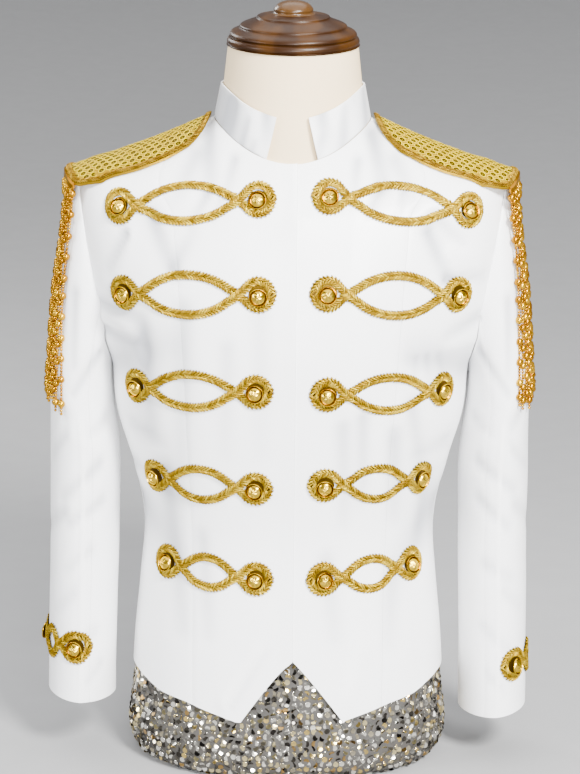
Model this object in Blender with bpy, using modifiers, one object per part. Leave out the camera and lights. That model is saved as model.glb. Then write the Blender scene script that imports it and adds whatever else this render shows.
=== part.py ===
# Frogged costume jacket with sequined epaulettes, worn by a limbless dress form.
# All sizes are in millimetres until a mesh is made. +Z is up and the front faces -Y.
# Left and right are the wearer's: side is +1 for the wearer's left (+X), -1 for the right.

import math
from collections import namedtuple

import bmesh
import bpy
import numpy as np
from mathutils import Matrix, Vector
from mathutils.bvhtree import BVHTree

MM = 0.001
SIDES = {"left": 1, "right": -1}

# Cloth and seams
WALL = 1.6              # outer cloth with its interlining
SEAM_GAP = 0.3          # between two sewn pieces
LAY_GAP = 0.8           # between a panel and what is sewn on it
FINE_LAY_GAP = 1.3      # the same where the cloth bends more
FRONT_EDGE_X = 5.0      # the right front laps this far past the middle

# The body of the jacket: one row for each ring, from the hem up to the neck.
# side_* is where a ring crosses the side, front_* and back_* where it crosses the middle.
Ring = namedtuple("Ring", "name side_x side_y side_z front_y front_z back_y back_z square")
BODY_RINGS = (
    Ring("hem", 160.0, 0, 60, -119.5, 60, 116, 60, 2.30),
    Ring("hips", 156.5, 0, 118, -114.5, 118, 109, 118, 2.30),
    Ring("low waist", 150.0, 0, 180, -109.0, 180, 97, 180, 2.25),
    Ring("waist", 146.5, 0, 240, -106.0, 240, 89, 240, 2.20),
    Ring("ribs", 158.0, 0, 300, -113.0, 300, 97, 300, 2.20),
    Ring("under arm", 172.0, 0, 350, -119.5, 350, 107, 350, 2.20),
    Ring("armpit", 178.0, 0, 395, -124.0, 395, 114, 395, 2.20),
    Ring("low chest", 192.0, 1, 440, -125.5, 430, 118, 435, 2.15),
    Ring("chest", 206.0, 2, 495, -123.0, 468, 120, 474, 2.10),
    Ring("upper chest", 213.0, 4, 548, -117.0, 507, 119, 511, 2.05),
    Ring("shoulder tip", 206.0, 6, 585.5, -108.0, 543, 114, 547, 2.00),
    Ring("outer yoke", 168.0, 6, 600.5, -100.0, 563, 103, 580, 2.00),
    Ring("inner yoke", 120.0, 5, 618.5, -91.5, 582, 85, 614, 2.00),
    Ring("neck", 76.0, 3, 637.5, -83.0, 599, 61, 652, 2.00),
)
ARMPIT_ROW, TIP_ROW, NECK_ROW = 6, 10, 13

# Broad hollows in the cloth: heights and half girths from the middle of the front or back
Fold = namedtuple("Fold", "name face x0 z0 x1 z1 width depth")
BODY_FOLDS = (
    Fold("chest drag", -1, 178, 400, 118, 430, 16, 2.5),
    Fold("waist, front", -1, 150, 262, 112, 215, 18, 2.5),
    Fold("blade, back", 1, 170, 430, 110, 500, 20, 3.0),
    Fold("waist, back", 1, 140, 255, 60, 235, 16, 3.0),
)

# Panel edges, as angles round the body from the front middle (0) to the back middle (180)
SIDE_SEAM, SHOULDER_SEAM = 93.0, 90.0
ARMHOLE_FRONT, ARMHOLE_BACK = 24.5, 26.5   # how far the armhole opens each way from its middle
FRONT_COLUMNS, FRONT_SEAM_COLUMN, BACK_COLUMNS = 14, 7, 12
# The seam down each front, as (ring place, angle): nearly upright, and over to the shoulder seam
PANEL_SEAM = (
    (0, 32.2), (1, 33.3), (2, 35.7), (3, 37.9), (4, 35.3), (5, 32.6), (6, 32.0), (7, 30.4), (8, 29.2),
    (9, 29.6), (10, 32.9), (10.75, 44.0), (11.5, 57.0), (12.25, 70.0), (13, 82.0),
)
ARMHOLE_ROWS = 8
YOKE_ROWS = (10.75, 11.5, 12.25, 13.0)
# The hem is notched in front: it falls from the front edge to a tip, then runs round by angle
HEM_Z = 70.0
NOTCH_Z, TIP_Z, TIP_REACH, TIP_COLUMN = 122.5, 60.5, 50.0, 3
HEM_LINE = ((15, 60.5), (21.5, 65.5), (36, 75), (49.5, 79), (59, 85), (70, 89), (93, 90), (180, 88))
LOWER_ROWS = ((70, 1.0), (110, 0.5), (150, 0), (198, 0), (246, 0), (298, 0), (350, 0), (395, 0))

# Stand collar, open at the front
COLLAR_BASE = Ring("collar base", 76.0, 3, 637.9, -83.0, 599.4, 61, 652.4, 2.0)
COLLAR_TOP = Ring("collar top", 69.0, -9, 671.0, -81.5, 640.0, 52, 694.0, 2.0)
COLLAR_OPENING = (18.5, 12.5)   # half angle at the base and at the top
COLLAR_COLUMNS, COLLAR_ROWS = 30, 3

# Sleeves: rings below the cap, the cuffs' heights, and the cap's fullness
Section = namedtuple("Section", "name z x y half_x half_y square")
SLEEVE_SECTIONS = (
    Section("biceps", 362, 207.5, 2, 31.0, 57.0, 2.00),
    Section("above elbow", 300, 205.5, 1, 34.5, 54.0, 1.95),
    Section("elbow", 240, 206.0, -3, 34.5, 51.0, 1.90),
    Section("forearm", 180, 207.0, -9, 34.3, 49.0, 1.85),
    Section("lower forearm", 110, 208.5, -16, 34.0, 47.5, 1.80),
    Section("cuff", 40, 209.5, -22, 34.0, 46.5, 1.80),
)
CUFF_Z = {"left": 48.0, "right": 60.0}
CUFF_TILT = 0.10                # the inner edge of a cuff hangs lower than the outer
CAP_ROWS, SLEEVE_ROWS = 6, 8
SLEEVE_SEAMS = (3, 13)          # columns of the front and back seams
ARM_AXIS = (0.98, 0.0, -0.18)   # out of the armhole

# Frogs: a braid with a ring at each end and a lens between
BRAID_WIDTH, BRAID_THICK = 9.6, 2.6
LOOP_RADIUS = 12.2              # to the middle of the braid
NECK_REACH = 18.5               # from a ring's middle to where the braids cross
CROSSING = 6.0                  # length of a crossing
TURNS = (0, 45, 90, 135)        # where a ring's points lie, in degrees from its far end
FINE_TURNS = (0, 22, 45, 67, 90, 112, 135)
FINE_FROGS = ("R1", "L1", "cuff_R", "cuff_L")   # laid where the cloth bends more
# in_* and out_* are the middles of the rings: girth from the front middle, and height
Frog = namedtuple("Frog", "name side in_g in_z out_g out_z bulge")
FRONT_FROGS = (
    Frog("R1", -1, 31, 567, 166, 557, 15.5),
    Frog("R2", -1, 30, 482, 164, 477, 18.4),
    Frog("R3", -1, 32, 391, 158, 386, 16.2),
    Frog("R4", -1, 32, 295, 140, 296, 15.6),
    Frog("R5", -1, 31, 204, 127, 209, 14.6),
    Frog("L1", 1, 35, 570, 172, 556, 15.5),
    Frog("L2", 1, 34, 483, 165, 478, 18.4),
    Frog("L3", 1, 35, 389, 156, 386, 16.2),
    Frog("L4", 1, 34, 299, 137, 297, 15.6),
    Frog("L5", 1, 34, 204, 129, 209, 14.6),
)
# On a cuff the girth runs outwards from the sleeve's front line, and height is above the cuff
CUFF_FROGS = (
    Frog("cuff_R", -1, 2, 57, 68, 57, 13.0),
    Frog("cuff_L", 1, 20, 53, 86, 53, 13.0),
)
BUTTON_PROFILE = ((2.5, 0.0), (2.5, 3.9), (8.6, 4.4), (6.3, 7.8))
BUTTON_HEIGHT = 9.3
BUTTON_SIDES = 10
BUTTON_SAG = 2.0                # a button hangs this far below its ring's middle
BUTTON_GAP = 0.5                # between a shank and the cloth it is sewn to

# Epaulettes: half outline in plan, as distance along the shoulder and half width
BOARD_OUTLINE = (
    (79, 0), (80.5, 20), (86, 38), (98, 50), (120, 56), (150, 57),
    (182, 54), (206, 47), (215, 28), (218.5, 13), (219, 0),
)
BOARD_MIDDLE_Y = 4.0
BOARD_THICK = 2.2
BOARD_LIFT = 2.0                # above the cloth
BOARD_DROP = 0.0076             # how fast the board falls away from its ridge
BOARD_LAST_X = 200.0            # it runs on straight past here, over the sleeve's head
BOARD_POINTS = 28
TRIM_WIDTH, TRIM_THICK = 7.0, 1.3
STRAND_COUNT = 14
STRAND_LENGTH = 218.0
STRAND_KNOTS = (0.06, 0.16, 0.30, 0.55, 1.0)
STRAND_RADIUS = 1.3
STRAND_STAND_OFF = 4.0          # from the sleeve to the middle of a strand
STRAND_SPREAD = 79.0            # how far round the sleeve the first and last strands come to rest
STRIP_THICK, STRIP_HEIGHT = 2.4, 4.5

# Dress form: torso below the hem, neck and turned cap
FORM_FOOT = (
    Ring("foot", 147, 0, 0, -107, 0, 104, 0, 2.3),
    Ring("foot round", 155, 0, 4, -115, 4, 112, 4, 2.3),
    Ring("foot side", 160, 0, 14, -120, 14, 117, 14, 2.3),
    Ring("seat", 162, 0, 32, -121, 32, 118, 32, 2.3),
    Ring("seat top", 158.5, 0, 54, -118.5, 54, 115.5, 54, 2.3),
)
FORM_NECK_ROOT = Ring("neck root", 70.0, 0, 642, -76.0, 604, 56.5, 655, 2.0)
FORM_NECK_RADIUS = 62.0
FORM_NECK_SHARES = (0.0, 0.35, 0.70, 1.0)
FORM_ROWS = ((80, 1.6), (118, 3.0), (180, 3.5), (240, 3.5), (300, 3.5), (350, 3.5), (395, 4.0))
FORM_UPPER = (
    (7, 5.0), (8, 5.5), (9, 6.0), (9.6, 5.0), (10, 2.0), (10.75, 0.6), (11.5, 0.6), (12.25, 0.6), (13, 0.6),
)
FORM_FACE_GAP = 3.2             # more room in front and behind, above the shoulders' tips
FORM_HALF_COLUMNS = 13
FORM_ARM_X = 196.0              # the form is cut off flat here, inside the armholes
CAP_TILT = math.radians(9)
CAP_CENTRE = (0.0, -17.3, 706.9)
CAP_GAP = 0.4
CAP_PROFILE = (
    (58.0, 0.0), (61.8, 1.0), (63.0, 4.0), (61.6, 7.0), (59.4, 8.0), (60.4, 9.8), (58.6, 12.6),
    (51.5, 16.0), (49.6, 19.0), (36.0, 24.4), (33.4, 27.0), (22.0, 28.6), (18.6, 30.4), (18.6, 33.6),
    (14.2, 38.2), (7.2, 40.6),
)
CAP_HEIGHT = 41.1
CAP_SIDES = 20

# Colour, roughness and metallic value of each material
Finish = namedtuple("Finish", "colour roughness metallic")
FINISHES = {
    "white_cloth": Finish((0.88, 0.88, 0.88), 0.55, 0.0),
    "gold_braid": Finish((0.66, 0.47, 0.13), 0.45, 0.5),
    "gold_sequins": Finish((0.90, 0.68, 0.08), 0.30, 0.6),
    "gold_beads": Finish((0.78, 0.42, 0.06), 0.28, 0.8),
    "brass": Finish((0.80, 0.60, 0.22), 0.25, 1.0),
    "form_cloth": Finish((0.80, 0.74, 0.64), 0.80, 0.0),
    "dark_wood": Finish((0.22, 0.11, 0.04), 0.30, 0.0),
}


def clear_scene():
    for obj in list(bpy.data.objects):
        bpy.data.objects.remove(obj)


def new_collection(name):
    collection = bpy.data.collections.new(name)
    bpy.context.scene.collection.children.link(collection)
    return collection


def material(name):
    made = bpy.data.materials.get(name)
    if made is None:
        finish = FINISHES[name]
        made = bpy.data.materials.new(name)
        made.use_nodes = True
        shader = made.node_tree.nodes["Principled BSDF"]
        shader.inputs["Base Color"].default_value = (*finish.colour, 1)
        shader.inputs["Roughness"].default_value = finish.roughness
        shader.inputs["Metallic"].default_value = finish.metallic
    return made


def add_object(name, mesh, finish, collection):
    mesh.materials.clear()
    mesh.materials.append(material(finish))
    obj = bpy.data.objects.new(name, mesh)
    collection.objects.link(obj)
    return obj


def mesh_of(name, points, faces):
    """A closed mesh from points in millimetres, its faces turned outwards."""
    mesh = bpy.data.meshes.new(name)
    mesh.from_pydata([tuple(float(x) * MM for x in p) for p in points], [], faces)
    shape = bmesh.new()
    shape.from_mesh(mesh)
    bmesh.ops.recalc_face_normals(shape, faces=shape.faces)
    shape.to_mesh(mesh)
    shape.free()
    mesh.shade_smooth()
    mesh.set_sharp_from_angle(angle=math.radians(40))
    return mesh


def unit(vector):
    return vector / np.linalg.norm(vector, axis=-1, keepdims=True)


def signed_power(value, power):
    return math.copysign(abs(value) ** power, value)


def smooth(share):
    share = min(1.0, max(0.0, share))
    return share * share * (3 - 2 * share)


def spline(rows, place):
    """The values of a table of rows at a place between them, on a Catmull-Rom curve."""
    last = len(rows) - 1
    place = min(max(place, 0.0), float(last))
    low = min(int(place), last - 1)
    t = place - low
    before, here, after, beyond = (rows[min(max(low + k, 0), last)] for k in (-1, 0, 1, 2))
    return 0.5 * (
        2 * here + (after - before) * t
        + (2 * before - 5 * here + 4 * after - beyond) * t ** 2
        + (3 * here - before - 3 * after + beyond) * t ** 3
    )


BODY_TABLE = np.array([ring[1:] for ring in BODY_RINGS], float)


def ring_point(values, side, angle):
    """A point of a ring, from its numbers; the angle runs from 0 in front to 180 behind."""
    side_x, side_y, side_z, front_y, front_z, back_y, back_z, square = values
    across, along = math.sin(math.radians(angle)), math.cos(math.radians(angle))
    end_y, end_z = (front_y, front_z) if along > 0 else (back_y, back_z)
    reach = abs(along) ** (2 / square)
    return np.array([
        side * side_x * signed_power(across, 2 / square),
        side_y + (end_y - side_y) * reach,
        side_z + (end_z - side_z) * along ** 2,
    ])


def smooth_body(side, angle, row):
    return ring_point(spline(BODY_TABLE, row), side, angle)


def body_normal(side, angle, row):
    """Out of the body at a point of its smooth surface."""
    step = 0.5
    around = smooth_body(side, angle + step, row) - smooth_body(side, angle - step, row)
    low, high = max(row - 0.05, 0), min(row + 0.05, NECK_ROW)
    upward = smooth_body(side, angle, high) - smooth_body(side, angle, low)
    return unit(np.cross(around, upward)) * side


def fold_depth(point):
    """How far the folds sink the cloth at a point."""
    depth = 0.0
    for fold in BODY_FOLDS:
        if fold.face * point[1] < 0:
            continue
        start, end = np.array([fold.x0, fold.z0]), np.array([fold.x1, fold.z1])
        run = end - start
        here = np.array([abs(point[0]), point[2]]) - start
        share = float(np.clip(here @ run / (run @ run), 0, 1))
        away = float(np.linalg.norm(here - share * run))
        depth += fold.depth * math.exp(-(away / fold.width) ** 2) * (1 - 0.6 * share)
    return depth


def body_point(side, angle, row):
    """(outer point, inner point) of the jacket's body."""
    point = smooth_body(side, angle, row)
    normal = body_normal(side, angle, row)
    outer = point - normal * fold_depth(point)
    return outer, outer - normal * WALL


def row_at_height(height):
    """The ring place that lies at a height below the armpit, where every ring is level."""
    low, high = 0.0, float(ARMPIT_ROW)
    for _ in range(30):
        middle = (low + high) / 2
        if spline(BODY_TABLE, middle)[2] < height:
            low = middle
        else:
            high = middle
    return (low + high) / 2


def hem_heights(angles):
    """The hem's height at each column of half the body."""
    notch = [NOTCH_Z + (TIP_Z - NOTCH_Z) * j / TIP_COLUMN for j in range(TIP_COLUMN + 1)]
    return notch + [float(np.interp(angle, *zip(*HEM_LINE))) for angle in angles[TIP_COLUMN + 1:]]


def angle_at(row, x):
    """The angle round a ring at which it is x from the middle; x is negative on the far side."""
    side_x, square = spline(BODY_TABLE, row)[[0, 7]]
    return math.copysign(math.degrees(math.asin((abs(x) / side_x) ** (square / 2))), x)


def body_rows(side):
    """For each row of the grid, the angles of its columns and the ring place of each column."""
    rows = []
    for height, hem_share in LOWER_ROWS:
        level = row_at_height(height)
        angles = row_angles(side, level, SIDE_SEAM, SIDE_SEAM)
        places = [row_at_height(height + (hem - HEM_Z) * hem_share) for hem in hem_heights(angles)]
        rows.append((angles, places))
    middle_row, half_rows = (ARMPIT_ROW + TIP_ROW) / 2, (TIP_ROW - ARMPIT_ROW) / 2
    for k in range(1, ARMHOLE_ROWS + 1):
        turn = math.pi * k / ARMHOLE_ROWS
        row = middle_row - half_rows * math.cos(turn)
        middle = SIDE_SEAM + (SHOULDER_SEAM - SIDE_SEAM) * k / ARMHOLE_ROWS
        front, back = middle - ARMHOLE_FRONT * math.sin(turn), middle + ARMHOLE_BACK * math.sin(turn)
        angles = row_angles(side, row, front, back)
        rows.append((angles, [row] * len(angles)))
    for row in YOKE_ROWS:
        angles = row_angles(side, row, SHOULDER_SEAM, SHOULDER_SEAM)
        rows.append((angles, [row] * len(angles)))
    return rows


def row_angles(side, row, front_end, back_start):
    """Columns of the front, then those of the back; the side seam has one column in each."""
    marks = (0, TIP_COLUMN, FRONT_SEAM_COLUMN, FRONT_COLUMNS)
    edge, tip = (angle_at(row, side * FRONT_EDGE_X + reach) for reach in (0, TIP_REACH))
    known = (edge, tip, float(np.interp(row, *zip(*PANEL_SEAM))), front_end)
    front = [float(np.interp(j, marks, known)) for j in range(FRONT_COLUMNS + 1)]
    back = [back_start + (180 - back_start) * j / BACK_COLUMNS for j in range(BACK_COLUMNS + 1)]
    return front + back


def body_grid(side):
    """Outer and inner points of half the body, as arrays of rows by columns."""
    outer, inner = [], []
    for angles, places in body_rows(side):
        pairs = [body_point(side, angle, place) for angle, place in zip(angles, places)]
        outer.append([pair[0] for pair in pairs])
        inner.append([pair[1] for pair in pairs])
    return np.array(outer), np.array(inner)


def away_from_edge(edge, beside):
    """Directions square to an edge, towards the points beside it."""
    tangent = unit(np.gradient(edge, axis=0))
    across = beside - edge
    return unit(across - (across * tangent).sum(axis=-1, keepdims=True) * tangent)


def pulled_in(grid, columns=(), last_row=False, gap=SEAM_GAP / 2):
    """The grid with its seam edges drawn back from their neighbours."""
    grid = grid.copy()
    for edge, beside in {"first": (0, 1), "last": (-1, -2)}.items():
        if edge in columns:
            grid[:, beside[0]] += away_from_edge(grid[:, beside[0]], grid[:, beside[1]]) * gap
    if last_row:
        grid[-1] += away_from_edge(grid[-1], grid[-2]) * gap
    return grid


def wall(name, outer, inner, finish, collection, tube=False):
    """A cloth wall between two grids of points; a tube's columns close on themselves."""
    rows, columns = outer.shape[:2]
    count = rows * columns
    points = np.concatenate([outer.reshape(-1, 3), inner.reshape(-1, 3)])
    spans = columns if tube else columns - 1

    def at(i, j, layer=0):
        return layer * count + i * columns + j % columns

    faces = []
    for i in range(rows - 1):
        for j in range(spans):
            faces.append((at(i, j), at(i, j + 1), at(i + 1, j + 1), at(i + 1, j)))
            faces.append((at(i, j, 1), at(i + 1, j, 1), at(i + 1, j + 1, 1), at(i, j + 1, 1)))
    for i in (0, rows - 1):
        for j in range(spans):
            faces.append((at(i, j), at(i, j, 1), at(i, j + 1, 1), at(i, j + 1)))
    if not tube:
        for i in range(rows - 1):
            for j in (0, columns - 1):
                faces.append((at(i, j), at(i + 1, j), at(i + 1, j, 1), at(i, j, 1)))
    return add_object(name, mesh_of(name, points, faces), finish, collection)


def closed_tube(grid):
    return np.concatenate([grid, grid[:, :1]], axis=1)


def skin_tree(grids):
    """A search tree of the outer faces of some grids."""
    points, faces = [], []
    for grid in grids:
        rows, columns = grid.shape[:2]
        start = len(points)
        points.extend(Vector(p) for p in grid.reshape(-1, 3))
        for i in range(rows - 1):
            for j in range(columns - 1):
                a = start + i * columns + j
                faces.append((a, a + 1, a + 1 + columns, a + columns))
    return BVHTree.FromPolygons(points, faces)


class Skin:
    """Outer cloth faces, asked for the point a given girth round from a starting direction."""

    REACH, STEP = 500.0, 2.0

    def __init__(self, tree, side, middle):
        self.tree, self.side, self.middle = tree, side, middle
        self.lines = {}

    def hit(self, height, angle):
        """(point, normal) where the cloth crosses a direction, in degrees from the front."""
        x, y = self.middle(height)
        out = Vector((self.side * math.sin(math.radians(angle)), -math.cos(math.radians(angle)), 0))
        middle = Vector((x, y, height))
        point, normal = self.tree.ray_cast(middle + out * self.REACH, -out)[:2]
        return (point, normal if normal.dot(out) > 0 else -normal) if point else (None, None)

    def line(self, height):
        """Angles and girths along the cloth at a height."""
        key = round(height, 1)
        if key not in self.lines:
            angles, girths, last = [], [], None
            for k in range(90):
                point = self.hit(key, k * self.STEP)[0]
                if point is None:
                    break
                girths.append(girths[-1] + (point - last).length if girths else 0.0)
                angles.append(k * self.STEP)
                last = point
            self.lines[key] = (girths, angles)
        return self.lines[key]

    def at(self, girth, height):
        girths, angles = self.line(height)
        angle = math.copysign(float(np.interp(abs(girth), girths, angles)), girth)
        point, normal = self.hit(height, angle)
        return np.array(point), np.array(normal)


def frog_outline(length, bulge, turns):
    """Pairs (outer edge, inner edge) down one half of a frog, in its own plane."""
    half = BRAID_WIDTH / 2
    first = -length / 2
    cross_out, cross_in = first + NECK_REACH - CROSSING / 2, first + NECK_REACH + CROSSING / 2
    pairs = []
    for turn in turns:
        c, s = math.cos(math.radians(turn)), math.sin(math.radians(turn))
        pairs.append(tuple((first - r * c, r * s) for r in (LOOP_RADIUS + half, LOOP_RADIUS - half)))
    pairs.append(((cross_out, half + 0.8), (cross_out, 0.0)))
    pairs.append(((cross_in, half + 0.8), (cross_in, 0.0)))
    lens_half = -cross_in
    for share in (0.80, 0.52, 0.18):
        t = math.acos(share)
        x, y = -lens_half * share, bulge * math.sin(t)
        slope = bulge * share / (lens_half * math.sin(t))
        nx, ny = -slope / math.hypot(1, slope), 1 / math.hypot(1, slope)
        pairs.append(((x + half * nx, y + half * ny), (x - half * nx, y - half * ny)))
    mirrored = [tuple((-x, y) for x, y in pair) for pair in reversed(pairs)]
    return pairs + mirrored


def lay_gap(frog):
    return FINE_LAY_GAP if frog.name in FINE_FROGS else LAY_GAP


def make_frog(frog, skin, base_z, collection):
    """A braid laid on the cloth: two mirrored halves that share their points on the axis."""
    start, end = np.array([frog.in_g, frog.in_z + base_z]), np.array([frog.out_g, frog.out_z + base_z])
    run = end - start
    length = float(np.linalg.norm(run))
    along, across = run / length, np.array([-run[1], run[0]]) / length
    pairs = frog_outline(length, frog.bulge, FINE_TURNS if frog.name in FINE_FROGS else TURNS)
    gap = lay_gap(frog)

    flat, index = [], {}
    for k, pair in enumerate(pairs):
        for edge, (x, y) in enumerate(pair):
            for half in (1, -1):
                if half == -1 and y == 0:
                    index[k, edge, half] = index[k, edge, 1]
                    continue
                index[k, edge, half] = len(flat)
                flat.append((start + end) / 2 + along * x + across * y * half)
    count = len(flat)
    lower, upper = [], []
    for girth, height in flat:
        point, normal = skin.at(girth, height)
        lower.append(point + normal * gap)
        upper.append(point + normal * (gap + BRAID_THICK))

    faces = []
    for k in range(len(pairs) - 1):
        for half in (1, -1):
            a, b = index[k, 0, half], index[k + 1, 0, half]
            c, d = index[k + 1, 1, half], index[k, 1, half]
            faces.append((a, b, c, d))
            faces.append((a + count, d + count, c + count, b + count))
            faces.append((a, a + count, b + count, b))
            if not (pairs[k][1][1] == 0 and pairs[k + 1][1][1] == 0):
                faces.append((c, c + count, d + count, d))
    name = "frog_" + frog.name
    return add_object(name, mesh_of(name, lower + upper, faces), "gold_braid", collection)


def turned(name, profile, height, sides, finish, collection):
    """A solid turned about Z; the profile is (radius, height) pairs up its outer side."""
    mesh = bpy.data.meshes.get(finish + "_profile")
    if mesh is None:
        mesh = bpy.data.meshes.new(finish + "_profile")
        points = [(0, 0, height), *((r, 0, z) for r, z in reversed(profile)), (0, 0, profile[0][1])]
        edges = [(k, k + 1) for k in range(len(points) - 1)]
        mesh.from_pydata([tuple(x * MM for x in p) for p in points], edges, [])
    obj = add_object(name, mesh, finish, collection)
    screw = obj.modifiers.new("turn", "SCREW")
    screw.axis = "Z"
    screw.steps = screw.render_steps = sides
    screw.use_merge_vertices = True
    screw.merge_threshold = 0.00001
    return obj


def make_button(name, skin, girth, height, collection):
    """A shank button whose head stands over the braid."""
    point, normal = skin.at(girth, height - BUTTON_SAG)
    button = turned(name, BUTTON_PROFILE, BUTTON_HEIGHT, BUTTON_SIDES, "brass", collection)
    button.rotation_euler = Vector(normal).to_track_quat("Z", "Y").to_euler()
    button.location = Vector(point + normal * BUTTON_GAP) * MM


def collar_grid():
    base, top = np.array(COLLAR_BASE[1:], float), np.array(COLLAR_TOP[1:], float)
    outer, inner = [], []
    for i in range(COLLAR_ROWS + 1):
        share = i / COLLAR_ROWS
        values = base + (top - base) * share
        opening = COLLAR_OPENING[0] + (COLLAR_OPENING[1] - COLLAR_OPENING[0]) * share
        ring = []
        for j in range(COLLAR_COLUMNS + 1):
            angle = opening + (360 - 2 * opening) * j / COLLAR_COLUMNS
            side = 1 if angle <= 180 else -1
            ring.append(ring_point(values, side, angle if side == 1 else 360 - angle))
        outer.append(ring)
    outer = np.array(outer)
    around = np.gradient(outer, axis=1)
    upward = np.gradient(outer, axis=0)
    outward = unit(np.cross(around, upward))
    return outer, outer - outward * WALL


def armhole_ring(grid):
    """The armhole's points, from the armpit up its front edge and down its back edge."""
    first, last = len(LOWER_ROWS) - 1, len(LOWER_ROWS) - 1 + ARMHOLE_ROWS
    front = grid[first:last + 1, FRONT_COLUMNS]
    back = grid[first:last + 1, FRONT_COLUMNS + 1]
    return np.concatenate([front, back[-2:0:-1]])


def sleeve_section(side, name, place, columns):
    """A level ring of the sleeve, starting at its inner side and passing the front."""
    z, x, y, half_x, half_y, square = spline(np.array([s[1:] for s in SLEEVE_SECTIONS], float), place)
    top, cuff = SLEEVE_SECTIONS[0].z, SLEEVE_SECTIONS[-1].z
    z = top + (z - top) * (top - CUFF_Z[name]) / (top - cuff)
    ring = []
    for k in range(columns):
        turn = 2 * math.pi * k / columns
        out = -signed_power(math.cos(turn), 2 / square) * half_x
        forward = signed_power(math.sin(turn), 2 / square) * half_y
        tilt = CUFF_TILT * out * smooth((top - z) / top)
        ring.append((side * (x + out), y - forward, z + tilt))
    return np.array(ring)


def sleeve_grid(side, name, armhole, body_inward):
    """Rings of the sleeve from the armhole to the cuff; returns outer and inner points."""
    columns = len(armhole)
    turn = 2 * np.pi * np.arange(columns) / columns
    height, forward = (1 - np.cos(turn)) / 2, np.sin(turn)
    axis = np.array([side * ARM_AXIS[0], ARM_AXIS[1], ARM_AXIS[2]])
    start = armhole + axis * SEAM_GAP
    end = sleeve_section(side, name, 0.0, columns)
    leave = unit(np.stack([side * (0.30 + 0.22 * height), -0.30 * forward, -1 + 0.12 * height], axis=1))
    reach = np.linalg.norm(end - start, axis=1)[:, None]
    second = start + leave * 0.10 * reach
    third = end + np.array([0, 0, 1]) * reach * 0.26
    rings = []
    for i in range(CAP_ROWS):
        t = i / CAP_ROWS
        near = (1 - t) ** 3 * start + 3 * (1 - t) ** 2 * t * second
        rings.append(near + 3 * (1 - t) * t ** 2 * third + t ** 3 * end)
    last = len(SLEEVE_SECTIONS) - 1
    rings += [sleeve_section(side, name, last * i / SLEEVE_ROWS, columns) for i in range(SLEEVE_ROWS + 1)]
    outer = np.array(rings)

    around = np.roll(outer, -1, axis=1) - np.roll(outer, 1, axis=1)
    downward = np.gradient(outer, axis=0)
    inward = unit(np.cross(around, downward)) * side
    # The cap leaves the armhole with the body's own thickness direction, except under the arm
    share = np.clip(height * 2.2, 0, 1)[:, None]
    inward[0] = unit(share * body_inward + (1 - share) * inward[0])
    return outer, outer + inward * WALL


def seamed_tube_part(outer, inner, first, last):
    """Columns first to last of a closed tube, drawn back from the two lengthwise seams."""
    columns = [k % outer.shape[1] for k in range(first, last + 1)]
    return [pulled_in(grid[:, columns], columns=("first", "last")) for grid in (outer, inner)]


def board_outline():
    """The epaulette's outline in plan, as evenly spaced points (along the shoulder, across it)."""
    half = [(x, -w) for x, w in BOARD_OUTLINE] + [(x, w) for x, w in BOARD_OUTLINE[-2:0:-1]]
    loop = np.array(half, float)
    steps = len(loop)
    padded = np.concatenate([loop[-2:], loop, loop[:3]])
    dense = np.array([spline(padded, 2 + steps * k / 400) for k in range(401)])
    lengths = np.concatenate([[0], np.cumsum(np.linalg.norm(np.diff(dense, axis=0), axis=1))])
    wanted = np.linspace(0, lengths[-1], BOARD_POINTS, endpoint=False)
    return np.stack([np.interp(wanted, lengths, dense[:, k]) for k in (0, 1)], axis=1)


class Board:
    """The stiff board's surface over one shoulder."""

    def __init__(self, side, tree):
        self.side, self.tree = side, tree
        near, far = (self.cloth(x) for x in (BOARD_LAST_X - 20, BOARD_LAST_X))
        self.slope, self.end_z = (far - near) / 20, far

    def cloth(self, x, across=0.0):
        """The height of the cloth under a point."""
        above = Vector((self.side * x, BOARD_MIDDLE_Y + across, 900))
        hit = self.tree.ray_cast(above, Vector((0, 0, -1)))[0]
        return hit.z if hit else 0.0

    def ridge(self, x):
        if x > BOARD_LAST_X:
            return self.end_z + self.slope * (x - BOARD_LAST_X)
        return self.cloth(x)

    def point(self, x, across, rise=0.0):
        """A point at a height over the board's underside, which arches but stays clear of the cloth."""
        arch = self.ridge(x) - BOARD_DROP * across ** 2
        z = max(arch, self.cloth(x, across)) + BOARD_LIFT + rise
        return np.array([self.side * x, BOARD_MIDDLE_Y + across, z])


def drawn_in(outline, width):
    """The outline moved in by a width, square to itself."""
    tangent = unit(np.roll(outline, -1, axis=0) - np.roll(outline, 1, axis=0))
    inward = np.stack([-tangent[:, 1], tangent[:, 0]], axis=1)
    inward *= np.sign(((outline.mean(axis=0) - outline) * inward).sum(axis=1))[:, None]
    return outline + inward * width


def make_board(name, board, outline, collection):
    """The board: its edge, the line of the trim's inner edge, then rings shrinking to its middle."""
    middle, within = outline.mean(axis=0), drawn_in(outline, TRIM_WIDTH)
    rings = [outline] + [middle + (within - middle) * share for share in (1.0, 0.72, 0.40)]
    points, faces = [], []
    for rise in (0.0, BOARD_THICK):
        points += [board.point(*p, rise) for p in np.concatenate([*rings, [middle]])]
    count = len(outline)
    layer = count * len(rings) + 1
    for base in (0, layer):
        for k in range(count):
            after = (k + 1) % count
            for ring in range(len(rings) - 1):
                a, b = base + ring * count + k, base + ring * count + after
                faces.append((a, b, b + count, a + count))
            inner = base + (len(rings) - 1) * count
            faces.append((inner + k, inner + after, base + layer - 1))
    for k in range(count):
        after = (k + 1) % count
        faces.append((k, after, layer + after, layer + k))
    add_object(name, mesh_of(name, points, faces), "gold_sequins", collection)
    return BVHTree.FromPolygons([Vector(p) for p in points], faces)


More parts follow.
